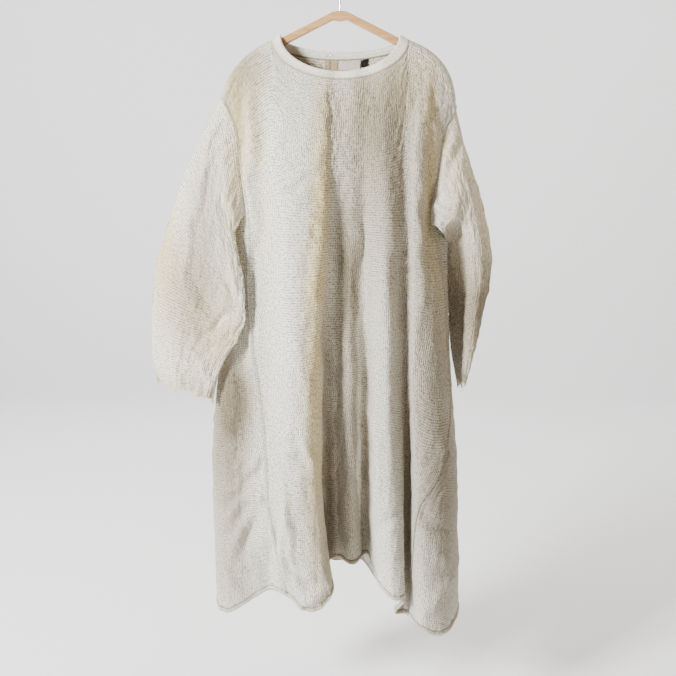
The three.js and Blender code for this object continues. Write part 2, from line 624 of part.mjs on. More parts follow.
const plainSolid = (geometry) => {
  const bare = geometry.clone();
  for (const key of Object.keys(bare.attributes)) if (key !== 'position') bare.deleteAttribute(key);
  const merged = mergeVertices(bare, 1e-3);
  return new wasm.Manifold(new wasm.Mesh({
    numProp: 3,
    vertProperties: merged.attributes.position.array,
    triVerts: new Uint32Array(merged.index.array),
  }));
};
const backToGeometry = (solid) => {
  const { vertProperties, triVerts } = solid.getMesh();
  const geometry = new THREE.BufferGeometry();
  geometry.setAttribute('position', new THREE.BufferAttribute(vertProperties, 3));
  geometry.setIndex(new THREE.BufferAttribute(triVerts, 1));
  return geometry;
};

function makeHanger() {
  const { thick, bevel, tall, blockX, blockFoot, neckZ, apexZ, apexHalf, apexDrop } = HANGER;
  const half = (sign) => {
    const arm = armTop(sign);
    const top = [
      [0, apexZ], [sign * apexHalf, apexZ - apexDrop], [sign * NECK.rimHalfWidth, neckZ], ...arm];
    const end = top.at(-1);
    const under = top.slice(1, -1).reverse().filter(([x]) => Math.abs(x) < blockX);
    const foot = [
      [end[0], end[1] - HANGER.endDrop],
      [end[0] - sign * HANGER.endTaper, blockFoot],
      [sign * blockX, blockFoot],
      [sign * blockX, arm.find(([x]) => Math.abs(x) > blockX)[1] - tall],
    ];
    const lower = under.map(([x, z]) => [x * HANGER.underShare, z - tall]);
    return [...top, ...foot, ...lower, [0, apexZ - tall - HANGER.apexExtra]];
  };
  // once round: up the left half backwards, then down the right half
  const left = half(-1);
  const outline = [...half(1), ...left.slice(1, -1).reverse()];
  const shape = new THREE.Shape(outline.map(([x, z]) => new THREE.Vector2(x, z)));
  const wood = new THREE.ExtrudeGeometry(shape, {
    depth: thick - 2 * bevel, bevelThickness: bevel, bevelSize: bevel, bevelOffset: -bevel,
    bevelSegments: 2, steps: 1,
  });
  wood.rotateX(Math.PI / 2);
  wood.translate(0, thick / 2 - bevel, 0);
  const bore = new THREE.CylinderGeometry(HOOK.wire + HOOK.fit, HOOK.wire + HOOK.fit, 2 * HOOK.seatDepth, 12);
  bore.rotateX(Math.PI / 2);
  bore.translate(0, 0, apexZ);
  put('hanger_wood', backToGeometry(plainSolid(wood).subtract(plainSolid(bore))), WOOD);

  const barLength = 2 * (blockX - LAY_GAP);
  const bar = new THREE.CylinderGeometry(HANGER.barRadius, HANGER.barRadius, barLength, 16);
  bar.rotateZ(Math.PI / 2);
  bar.translate(0, 0, HANGER.barZ);
  put('hanger_bar', bar, WOOD);

  const radius = HOOK.inside + HOOK.wire;
  const arc = [200, 165, 130, 90, 50, 15, -20, -48].map((degrees) => {
    const a = (degrees * Math.PI) / 180;
    return [radius * Math.cos(a), 0, -HOOK.inside + radius * Math.sin(a)];
  });
  const seat = apexZ - HOOK.seatDepth + 1;
  const stem = [[4, 0, -42], [0, 0, HOOK.throat], [0, 0, -72], [0, 0, seat]];
  put('hanger_hook', wireAlong([...arc, ...stem], HOOK.wire, 8, 26), STEEL);
}

// ---- torn cuffs ------------------------------------------------------------

// A knot with threads hanging from it, fused into one solid.
function makeKnot({ name, side, at, below, radius, threads, reach }, chain) {
  const cuff = sleevePoint(side, chain, at, 1);
  const centre = [cuff[0], cuff[1], cuff[2] - radius * KNOT.deep - below];
  const lump = new THREE.SphereGeometry(radius, 7, 5);
  lump.scale(KNOT.wide, KNOT.deep, KNOT.deep);
  lump.translate(...centre);
  let solid = plainSolid(lump);
  for (let i = 0; i < threads; i += 1) {
    const turn = THREAD.turn * i + 0.7;
    const length = reach * mix(THREAD.shortest, 1, Math.sin(1.7 * i + 1) ** 2);
    const rings = Array.from({ length: THREAD.bends + 1 }, (_, k) => {
      const t = k / THREAD.bends;
      const spread = radius * (THREAD.root + THREAD.spread * t);
      const curl = THREAD.curl * radius * t * t * Math.sin(3 * t + i);
      const thick = THREAD.radius * (1.15 - 0.5 * t);
      return Array.from({ length: THREAD.sides }, (__, n) => {
        const a = (2 * Math.PI * n) / THREAD.sides;
        return [
          centre[0] + spread * Math.cos(turn) + curl * Math.sin(turn) + thick * Math.cos(a),
          centre[1] + spread * Math.sin(turn) * KNOT.deep + thick * Math.sin(a),
          centre[2] - radius * KNOT.droop - length * t,
        ];
      }).reverse();
    });
    solid = solid.add(plainSolid(sweep(rings)));
  }
  put(name, backToGeometry(solid), COTTON);
}

makeBody();
makeSleeve('left');
makeSleeve('right');
makeNeckBand();
const patchFinish = {
  slit_tape_right: TAPE, slit_tape_left: TAPE, neck_label: LABEL, size_tab: BLACK_TAPE,
};
for (const patch of PATCHES) makePatch(patch, patchFinish[patch.name]);
makeFastener();
makeHanger();
for (const knot of KNOTS) makeKnot(knot, armhole(knot.side));

export default robe;
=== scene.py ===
# %% [markdown]
# # A druid's robe on a wooden coat hanger
#
# A long robe of heavy crinkled cotton, worn thin, with both cuffs torn off. It hangs
# by its shoulders, so the cloth is drawn up tight there and falls into deep, uneven
# folds below the chest. This lesson builds each sewn piece as a thin shell of cloth,
# then adds what a tailor adds: felled seams, a turned hem, stitches and trims.

# %% Load the frame
import math
from contextlib import contextmanager

import bmesh
import bpy
import numpy as np
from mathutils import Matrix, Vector


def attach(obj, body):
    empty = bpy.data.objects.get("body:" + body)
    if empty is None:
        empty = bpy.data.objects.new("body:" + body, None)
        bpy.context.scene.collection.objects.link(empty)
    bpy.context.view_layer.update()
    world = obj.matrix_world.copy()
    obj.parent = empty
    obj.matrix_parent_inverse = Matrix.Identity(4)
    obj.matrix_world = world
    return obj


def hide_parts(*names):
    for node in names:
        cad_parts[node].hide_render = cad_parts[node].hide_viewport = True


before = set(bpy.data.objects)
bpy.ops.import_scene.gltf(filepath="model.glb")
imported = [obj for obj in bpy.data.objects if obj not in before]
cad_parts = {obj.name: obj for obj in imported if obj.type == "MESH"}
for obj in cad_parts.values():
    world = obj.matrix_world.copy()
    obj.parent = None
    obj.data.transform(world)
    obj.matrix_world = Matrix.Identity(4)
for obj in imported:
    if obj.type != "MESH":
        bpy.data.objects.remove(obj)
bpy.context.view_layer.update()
MM = 0.001
print("nodes:", sorted(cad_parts))

# %% [markdown]
# ## The camera
#
# A folded garment reads best from the height of its chest, looking slightly down. A
# camera with a moderate lens close by shows the rounding of the folds; a long lens
# from afar would flatten them. `placed` puts a camera, a lamp or a mesh in the scene.

# %% Camera
CAMERA = {"place": (-0.0040, -1.900, -0.3967), "down": 10.426, "lens": 48.62}


def placed(name, data):
    made = bpy.data.objects.new(name, data)
    bpy.context.collection.objects.link(made)
    return made


lens = bpy.data.cameras.new("camera")
lens.lens = CAMERA["lens"]
lens.sensor_width = 36
camera = placed("camera", lens)
camera.location = CAMERA["place"]
camera.rotation_euler = (math.radians(90 - CAMERA["down"]), 0, 0)
bpy.context.scene.camera = camera
print("camera", tuple(camera.location))

# %% [markdown]
# ## Curves through a few numbers
#
# The drape is described by short tables, and everything between their rows is worked
# out. Two kinds of curve do that. `through` passes through values at rising knots and
# never overshoots, which suits heights. `round_ring` is a closed smooth curve, which
# suits folds that run round the body. Both take whole arrays, which is what makes a
# mesh of a hundred thousand points quick in Python.

# %% Curve helpers
def mix(a, b, t):
    return a + (b - a) * t


def smooth(t):
    t = np.clip(t, 0, 1)
    return t * t * (3 - 2 * t)


def ease_out(t):
    return 1 - (1 - t) ** 2


def unit(a):
    return a / np.maximum(np.linalg.norm(a, axis=-1, keepdims=True), 1e-9)


def through(knots, values, at):
    at = np.asarray(at, float)
    knots = np.broadcast_to(np.asarray(knots, float), at.shape + (np.shape(knots)[-1],))
    values = np.broadcast_to(np.asarray(values, float), knots.shape)
    at = np.clip(at, knots[..., 0], knots[..., -1])
    slope = np.diff(values) / np.diff(knots)
    before, after = slope[..., :-1], slope[..., 1:]
    same = before * after > 0
    inner = np.where(same, 2 * before * after / np.where(same, before + after, 1), 0)
    tangent = np.concatenate([slope[..., :1], inner, slope[..., -1:]], axis=-1)
    i = (at[..., None] > knots[..., 1:-1]).sum(-1)[..., None]
    pick = lambda a, k: np.take_along_axis(a, i + k, -1)[..., 0]
    span = pick(knots, 1) - pick(knots, 0)
    t = (at - pick(knots, 0)) / span
    return (pick(values, 0) * (1 + 2 * t) * (1 - t) ** 2 + pick(values, 1) * t * t * (3 - 2 * t)
            + span * (pick(tangent, 0) * t * (1 - t) ** 2 - pick(tangent, 1) * t * t * (1 - t)))


def round_ring(count, value, at):
    i = np.floor(at).astype(int)
    t = at - i
    p, q, r, s = [value((i + k) % count) for k in (-1, 0, 1, 2)]
    return 0.5 * (2 * q + (r - p) * t + (2 * p - 5 * q + 4 * r - s) * t * t
                  + (3 * q - 3 * r + s - p) * t ** 3)


print("half way through 0, 1, 5:", through([0, 1, 2], [0, 1, 5], np.array([1.5])))

# %% [markdown]
# ## The drape of the body
#
# Seen in plan, the hanging cloth is one wavy loop. Each fold is a row: where it
# stands at the chest, the hip, the thigh and the hem, and how low its hem hangs. The
# front has three big flutes with deep recesses between them, and the back falls in
# softer waves. Millimetres are used here, because cloth is cut in them.

# %% The table of folds
CHEST, HIP, THIGH = -357, -765, -1045
FOLDS = [
    # name, x at the four heights, y at the four heights, hem
    ("left side", (-212, -253, -275, -272), (2, -5, -10, -15), -1336),
    ("left front roll", (-208, -228, -243, -240), (-14, -36, -52, -60), -1340),
    ("seam hollow", (-202, -190, -199, -160), (-20, -48, -62, -66), -1290),
    ("lobe rise", (-156, -142, -150, -116), (-36, -66, -84, -94), -1283),
    ("first flute", (-109, -101, -104, -67), (-46, -92, -104, -112), -1311),
    ("first flute shoulder", (-60, -65, -62, -34), (-48, -88, -104, -108), -1302),
    ("first flute edge", (-24, -38, -40, -15), (-47, -66, -76, -86), -1272),
    ("first recess", (-14, -28, -35, -27), (-41, -28, -8, 30), -1264),
    ("first recess end", (0, -4, -4, 0), (-40, -20, 5, 46), -1262),
    ("small flute", (22, 21, 25, 29), (-44, -38, -20, 6), -1257),
    ("second recess", (48, 52, 54, 62), (-40, -20, 8, 46), -1254),
    ("second flute left", (68, 68, 72, 84), (-46, -58, -60, -46), -1282),
    ("second flute", (89, 95, 102, 113), (-54, -84, -88, -82), -1300),
    ("second flute right", (113, 121, 130, 141), (-50, -62, -66, -64), -1309),
    ("gap hollow", (129, 134, 138, 122), (-44, -48, -40, -20), -1362),
    ("gap", (141, 142, 150, 150), (-46, -56, -42, -6), -1372),
    ("third flute left", (153, 150, 156, 168), (-52, -77, -88, -98), -1354),
    ("third flute", (175, 186, 192, 205), (-44, -70, -96, -110), -1368),
    ("third flute right", (197, 212, 228, 240), (-30, -45, -74, -80), -1364),
    ("right side", (214, 231, 254, 262), (0, -4, -10, -18), -1340),
    ("back right roll", (208, 228, 240, 238), (26, 48, 56, 60), -1336),
    ("back flute right", (160, 172, 178, 182), (36, 84, 108, 124), -1350),
    ("back hollow right", (112, 116, 112, 106), (37, 60, 70, 76), -1352),
    ("back flute inner right", (66, 64, 58, 50), (42, 86, 116, 136), -1304),
    ("back hollow middle", (18, 12, 4, -6), (41, 62, 78, 92), -1288),
    ("centre back", (-20, -24, -34, -50), (42, 84, 112, 134), -1304),
    ("back hollow left", (-74, -80, -92, -110), (40, 60, 70, 80), -1338),
    ("back flute left", (-130, -142, -156, -170), (40, 84, 108, 126), -1352),
    ("back left roll", (-196, -220, -246, -246), (26, 46, 54, 58), -1340),
]
CENTRE_BACK = 25
FAR_BELOW = -2000.0
FOLD_X, FOLD_Y, FOLD_HEM = [np.array([row[k] for row in FOLDS], float) for k in (1, 2, 3)]
PINCH = {"left": 10, "right": 30, "z": -500, "reach": 90, "reach_behind": 34, "behind": 24,
         "from": 140, "over": 60}


def pinch(x, y, z):
    depth = np.where(x < 0, PINCH["left"], PINCH["right"])
    back = (z < PINCH["z"]) * smooth(y / PINCH["behind"])
    near = np.exp(-(((z - PINCH["z"]) / mix(PINCH["reach"], PINCH["reach_behind"], back)) ** 2))
    return np.sign(x) * depth * near * smooth((abs(x) - PINCH["from"]) / PINCH["over"])


def hem_at(fold):
    return round_ring(len(FOLDS), lambda i: FOLD_HEM[i], fold)


def drape(fold, z):
    def along(places):
        def at_fold(i):
            fixed = np.broadcast_to([THIGH, HIP, CHEST], i.shape + (3,))
            knots = np.concatenate([FOLD_HEM[i][..., None], fixed], axis=-1)
            return through(knots, places[i][..., ::-1], z)
        return round_ring(len(FOLDS), at_fold, fold)
    x, y = along(FOLD_X), along(FOLD_Y)
    return x - pinch(x, y, z), y


print("folds:", len(FOLDS), "| hem of the first flute:", hem_at(np.array([4.0])))

# %% [markdown]
# ## From chest to shoulder
#
# Above the chest nothing hangs free. The cloth is drawn up to the neck seam and over
# the hanger's arms, which round it off at the shoulder. So each column of cloth is
# pulled from its place in the drape to its place on the top edge, more and more
# slowly, the way a tight cloth leaves a rail.

# %% Top edge, seams and panels
RIDGE_ROUND = 13
NECK = {"half_width": 136, "corner_z": -141, "front_drop": 78, "back_drop": 36, "share": 0.5,
        "rim_half_width": 118, "rim_z": -131, "rim_front_drop": 73, "rim_back_drop": 30}
SHOULDERS = {"left": {"bend": (-224, -180), "end": (-240, -257)},
             "right": {"bend": (234, -172), "end": (235, -275)}}
UNDERARM = {"left": -487, "right": -505}
SLIT_W = -0.029
ARMHOLE_SPREAD = {"left": 2.4, "right": 1.8}
SIDE_SEAMS = {
    # heights, and how many folds round from the left side the seam lies there
    "left": ([-1300, -1110, -1010, -890, -760, -600, -357], [3.0, 2.9, 2.85, 2.6, 2.15, 1.95, 1.8]),
    "right": ([-1330, -1240, -1090, -1020, -920, -860, -357],
              [15.2, 15.5, 16.3, 17.4, 18.4, 18.7, 18.5]),
}


def top_edge(w, drop):
    angle = (math.pi / 2) * np.sin((math.pi / 2) * np.clip(w / NECK["share"], -1, 1))
    neck_x = NECK["half_width"] * np.sin(angle)
    neck_z = NECK["corner_z"] - drop * np.cos(angle)
    s = np.clip((abs(w) - NECK["share"]) / (1 - NECK["share"]), 0, 1)
    left = w < 0
    of = lambda end, k: np.where(left, SHOULDERS["left"][end][k], SHOULDERS["right"][end][k])
    bezier = lambda a, b, c: a * (1 - s) ** 2 + 2 * b * s * (1 - s) + c * s * s
    arm_x = bezier(np.sign(w) * NECK["half_width"], of("bend", 0), of("end", 0))
    arm_z = bezier(NECK["corner_z"], of("bend", 1), of("end", 1))
    at_neck = abs(w) <= NECK["share"]
    return (np.where(at_neck, neck_x, arm_x), np.where(at_neck, neck_z, arm_z),
            np.where(at_neck, NECK["corner_z"], arm_z))


def seam_at(side, z):
    return through(*SIDE_SEAMS[side], z)


def armhole_spread(side, v):
    return ARMHOLE_SPREAD[side] * np.sqrt(np.clip(1 - (2 * v - 1) ** 2, 0, 1)) * (v < 1)


PANELS = {
    "front": {
        "side": -1, "drop": NECK["front_drop"], "columns": 52,
        "stops": ([0, 5, 8, 13, 19, 26, 32, 36, 39, 52],
                  [-1, -0.5, -0.22, -0.05, 0, 0.09, 0.16, 0.28, 0.5, 1]),
        "from": lambda z, v: seam_at("left", z), "to": lambda z, v: seam_at("right", z)},
    "back_right": {
        "side": 1, "drop": NECK["back_drop"], "columns": 24,
        "stops": ([0, 11, 13, 16, 20, 24], [1, 0.5, 0.21, 0.12, 0.035, SLIT_W]),
        "from": lambda z, v: seam_at("right", z) + armhole_spread("right", v),
        "to": lambda z, v: np.full_like(z, CENTRE_BACK)},
    "back_left": {
        "side": 1, "drop": NECK["back_drop"], "columns": 24,
        "stops": ([0, 4, 7, 9, 24], [SLIT_W, -0.12, -0.21, -0.5, -1]),
        "from": lambda z, v: np.full_like(z, CENTRE_BACK),
        "to": lambda z, v: len(FOLDS) + seam_at("left", z) - armhole_spread("left", v)},
}
print("panels:", list(PANELS))


# %% [markdown]
# `panel_point` is the heart of it: for a place (u, v) on a sewn panel it gives the
# point in space. u runs from one seam to the other, v from the top edge (0) past the
# underarm's height (1) to the hem (2). Knowing u and v everywhere pays off later:
# seams, stitches and the weave all follow them.

# %% A point on a panel
def panel_point(name, u, v):
    panel = PANELS[name]
    u, v = np.broadcast_arrays(np.asarray(u, float), np.asarray(v, float))
    w = through(*panel["stops"], u * panel["columns"])
    top_x, top_z, ridge = top_edge(w, panel["drop"])
    underarm = mix(UNDERARM["left"], UNDERARM["right"], (w + 1) / 2)
    far = np.full_like(w, FAR_BELOW)
    two = np.full_like(w, 2.0)
    hem = hem_at(mix(panel["from"](far, two), panel["to"](far, two), u))
    z = np.where(v < 1, mix(top_z, underarm, v), mix(underarm, hem, v - 1))
    fold = mix(panel["from"](z, v), panel["to"](z, v), u)
    hung_x, hung_y = drape(fold, np.minimum(z, CHEST))
    below = ridge - z
    to_chest = ease_out(np.clip(below / (ridge - CHEST), 0, 1))
    rounding = RIDGE_ROUND * np.sqrt(1 - (1 - np.clip(below / RIDGE_ROUND, 0, 1)) ** 2)
    from_edge = ease_out(np.clip((top_z - z) / (top_z - CHEST), 0, 1))
    yoke_x = mix(top_x, hung_x, from_edge)
    yoke_y = panel["side"] * rounding + (hung_y - panel["side"] * RIDGE_ROUND) * to_chest
    under_chest = z < CHEST
    return np.stack([np.where(under_chest, hung_x, yoke_x), np.where(under_chest, hung_y, yoke_y), z], -1)


print("front, middle of the hem:", panel_point("front", [0.5], [2.0]).round())

# %% [markdown]
# ## A shell of cloth
#
# Cloth is a sheet with two faces a couple of millimetres apart. Solidify would do it,
# but here the inner face is made directly: every point is moved in along its normal,
# and the open edges are joined. The grid's own rows and columns give the UV map, in
# real metres of cloth, so that the weave keeps its size on every fold.

# %% Shell helpers
CLOTH = 2.0


def grid_normals(points, is_tube=False):
    if is_tube:
        across = np.roll(points, -1, 1) - np.roll(points, 1, 1)
    else:
        across = np.gradient(points, axis=1)
    return unit(np.cross(np.gradient(points, axis=0), across))


def cloth_uv(points, is_tube=False, middle=0.5):
    """Metres of cloth: across from a middle column, and down along the mean column."""
    step = np.linalg.norm(np.diff(points, axis=1), axis=-1)
    across = np.concatenate([np.zeros((len(points), 1)), np.cumsum(step, axis=1)], axis=1)
    column = int(middle * (points.shape[1] - 1))
    across = across - across[:, column:column + 1]
    fall = np.linalg.norm(np.diff(points, axis=0), axis=-1).mean(axis=1)
    down = -np.concatenate([[0], np.cumsum(fall)])[:, None] * np.ones_like(across)
    return np.stack([across, down], -1) * MM


def make_mesh(name, points, faces, uv=None, tint=None, material=None):
    mesh = bpy.data.meshes.new(name)
    mesh.from_pydata((np.asarray(points) * MM).tolist(), [], faces)
    mesh.shade_smooth()
    corner = np.empty(len(mesh.loops), int)
    mesh.loops.foreach_get("vertex_index", corner)
    if uv is not None:
        layer = mesh.uv_layers.new(name="cloth")
        layer.data.foreach_set("uv", np.asarray(uv)[corner].ravel())
    if tint is not None:
        attribute = mesh.color_attributes.new("tint", "FLOAT_COLOR", "POINT")
        rgba = np.concatenate([tint, np.ones((len(tint), 1))], axis=1)
        attribute.data.foreach_set("color", rgba.ravel())
    if material:
        mesh.materials.append(material)
    return placed(name, mesh)


def quads(rows, columns, is_tube):
    r = np.arange(rows - 1)[:, None] * columns
    c = np.arange(columns if is_tube else columns - 1)[None, :]
    a = r + c
    d = r + (c + 1) % columns
    return np.stack([a, a + columns, d + columns, d], -1).reshape(-1, 4)


def shell(name, outer, normals, uv, tint, material, is_tube=False, thick=CLOTH):
    rows, columns = outer.shape[:2]
    inner = outer - normals * thick
    count = rows * columns
    face = quads(rows, columns, is_tube)
    faces = [*face.tolist(), *(face[:, ::-1] + count).tolist()]
    top = np.arange(columns)
    turn = np.roll(top, -1) if is_tube else top[1:]
    top = top if is_tube else top[:-1]
    base = (rows - 1) * columns
    for a, b in ((top, turn), (turn + base, top + base)):
        faces += np.stack([a, b, b + count, a + count], -1).tolist()
    if not is_tube:
        side = np.arange(rows) * columns
        for a, b in ((side[1:], side[:-1]), (side[:-1] + columns - 1, side[1:] + columns - 1)):
            faces += np.stack([a, b, b + count, a + count], -1).tolist()
    both = lambda a: np.concatenate([a.reshape(count, -1)] * 2)
    points = np.concatenate([outer.reshape(-1, 3), inner.reshape(-1, 3)])
    return make_mesh(name, points, faces, both(uv), both(tint), material)


print("shell helpers ready, cloth", CLOTH, "mm thick")

# %% [markdown]
# ## Finishes
#
# The cotton is a thick crepe. Rows show in some places and columns in others, with
# slanted grains like rice over both. Two waves and a stretched, turned noise on the UV
# map give them, a finer noise gives the yarn and a coarser one the crinkle. Image
# textures would do it too, but these stay sharp at any distance. The same height feeds
# the bump and darkens the troughs, as the real weave shades itself. A colour attribute
# adds yellowing and painted warm light in its first channel, and grime and painted
# shade in its second.

# %% Material helpers
def nodes_of(name):
    material = bpy.data.materials.new(name)
    material.use_nodes = True
    tree = material.node_tree
    return material, tree, tree.nodes["Principled BSDF"]


def node(tree, kind, **settings):
    made = tree.nodes.new(kind)
    for key, value in settings.items():
        if key in made.inputs:
            made.inputs[key].default_value = value
        else:
            setattr(made, key, value)
    return made


def link(tree, source, target):
    tree.links.new(source, target)


def place_on(tree, where):
    """Where on a piece a pattern is read: on its UV map or in Object coordinates."""
    return node(tree, "ShaderNodeTexCoord").outputs[where]


def speckle(tree, scale, detail):
    """A noise without a direction, for thread and wire."""
    noise = node(tree, "ShaderNodeTexNoise", Scale=scale, Detail=detail)
    link(tree, place_on(tree, "Object"), noise.inputs["Vector"])
    return noise.outputs["Fac"]


def stretched(tree, turn, across, along, detail=2.0):
    """A noise whose grains are 1/across wide and 1/along long, in metres, turned."""
    mapping = node(tree, "ShaderNodeMapping")
    mapping.inputs["Rotation"].default_value = (0, 0, math.radians(turn))
    second = node(tree, "ShaderNodeMapping")
    second.inputs["Scale"].default_value = (across, along, along)
    noise = node(tree, "ShaderNodeTexNoise", Scale=1.0, Detail=detail, Roughness=0.5)
    link(tree, place_on(tree, "UV"), mapping.inputs["Vector"])
    link(tree, mapping.outputs[0], second.inputs["Vector"])
    link(tree, second.outputs[0], noise.inputs["Vector"])
    return noise.outputs["Fac"]


def math_node(tree, operation, a, b):
    made = node(tree, "ShaderNodeMath", operation=operation)
    for socket, value in zip(made.inputs, (a, b)):
        if isinstance(value, (int, float)):
            socket.default_value = value
        else:
            link(tree, value, socket)
    return made.outputs[0]


def ramp(tree, value, stops):
    made = node(tree, "ShaderNodeValToRGB")
    for place, shade in stops:
        stop = made.color_ramp.elements.new(place)
        stop.color = (*shade, 1) if len(shade) == 3 else shade
    made.color_ramp.elements.remove(made.color_ramp.elements[0])
    made.color_ramp.elements.remove(made.color_ramp.elements[-1])
    link(tree, value, made.inputs[0])
    return made.outputs[0]


def blend(tree, share, a, b, how="MIX"):
    made = node(tree, "ShaderNodeMix", data_type="RGBA", blend_type=how)
    for socket, value in ((made.inputs[0], share), (made.inputs[6], a), (made.inputs[7], b)):
        if hasattr(value, "is_linked"):
            link(tree, value, socket)
        else:
            socket.default_value = (*value, 1) if isinstance(value, tuple) else value
    return made.outputs[2]


def bump(tree, shader, height, distance, strength=1.0):
    made = node(tree, "ShaderNodeBump", Distance=distance, Strength=strength)
    link(tree, height, made.inputs["Height"])
    link(tree, made.outputs[0], shader.inputs["Normal"])


def set_surface(shader, **values):
    """Sets the shader's sockets by name; an underscore stands for a space."""
    for name, value in values.items():
        shader.inputs[name.replace("_", " ")].default_value = value


print("material helpers ready")


# %% The crepe cotton
IVORY = (0.845, 0.828, 0.770)
# The yellow stands for yellowing and for painted warm light, the dark brown for grime and for painted
# shade.
YELLOWED_AND_WARM_LIT = (0.800, 0.640, 0.300)
SHADE_AND_GRIME = (0.225, 0.185, 0.130)
WHITE, BLACK = (1, 1, 1), (0, 0, 0)
TROUGH, SLOPE = (0.40, 0.37, 0.32), (0.77, 0.75, 0.72)
PITCH = {"rows": 0.0052, "columns": 0.0045}
CHIEF, OTHER, GRAIN, YARN, CRINKLE = 0.30, 0.08, 1.14, 0.2, 1.2
WEAVE_DEPTH = 0.0016


def bands(tree, direction, pitch, stray=2.6):
    """Rows or columns of the weave, `pitch` metres apart and a little uneven."""
    wave = node(tree, "ShaderNodeTexWave", wave_type="BANDS", bands_direction=direction,
                Scale=math.pi / (10 * pitch), Distortion=stray, Detail=2.0)
    wave.inputs["Detail Scale"].default_value = 1.1
    link(tree, place_on(tree, "UV"), wave.inputs["Vector"])
    return wave.outputs["Fac"]


def weighted(tree, parts):
    """The sum of sockets, each with its weight."""
    total = None
    for socket, weight in parts:
        part = math_node(tree, "MULTIPLY", socket, weight)
        total = part if total is None else math_node(tree, "ADD", total, part)
    return total


def crepe(name, contrast=1.0):
    """The cloth's finish; a tightly pulled piece shows less contrast."""
    material, tree, shader = nodes_of(name)
    rows, columns = bands(tree, "Y", PITCH["rows"]), bands(tree, "X", PITCH["columns"])
    grain, yarn = stretched(tree, 28, 360, 150), stretched(tree, 0, 1500, 900)
    by_rows = weighted(tree, [(rows, CHIEF), (columns, OTHER), (grain, GRAIN)])
    by_columns = weighted(tree, [(rows, OTHER), (columns, CHIEF), (grain, GRAIN)])
    which = ramp(tree, stretched(tree, 10, 7, 5, 1.0), [(0.42, BLACK), (0.58, WHITE)])
    weave = blend(tree, which, by_rows, by_columns)
    coarse = stretched(tree, 12, 60, 34, 3.0)
    height = weighted(tree, [(weave, 1.0), (yarn, YARN), (coarse, CRINKLE)])
    bump(tree, shader, height, WEAVE_DEPTH * contrast)
    tint = node(tree, "ShaderNodeAttribute", attribute_name="tint")
    split = node(tree, "ShaderNodeSeparateColor")
    link(tree, tint.outputs["Color"], split.inputs[0])
    # The tint's first channel mixes in yellowing and painted warm light, its second grime and painted
    # shade.
    patchy = stretched(tree, 25, 9, 6, 3.0)
    yellowing_and_warm_light = math_node(tree, "MULTIPLY", split.outputs[0], math_node(tree, "ADD", patchy, 0.6))
    colour = blend(tree, yellowing_and_warm_light, IVORY, YELLOWED_AND_WARM_LIT)
    colour = blend(tree, split.outputs[1], colour, SHADE_AND_GRIME)
    dark, middle = [[1 - contrast * (1 - c) for c in tone] for tone in (TROUGH, SLOPE)]
    shade = ramp(tree, weave, [(0.54, dark), (0.73, middle), (0.92, WHITE)])
    link(tree, blend(tree, 1.0, colour, shade, "MULTIPLY"), shader.inputs["Base Color"])
    set_surface(shader, Roughness=0.93, Specular_IOR_Level=0.2, Sheen_Weight=0.08, Sheen_Roughness=0.5)
    return material


cotton = crepe("crepe_cotton")
band_cotton = crepe("band_cotton", contrast=0.45)
print("finishes:", cotton.name, band_cotton.name)
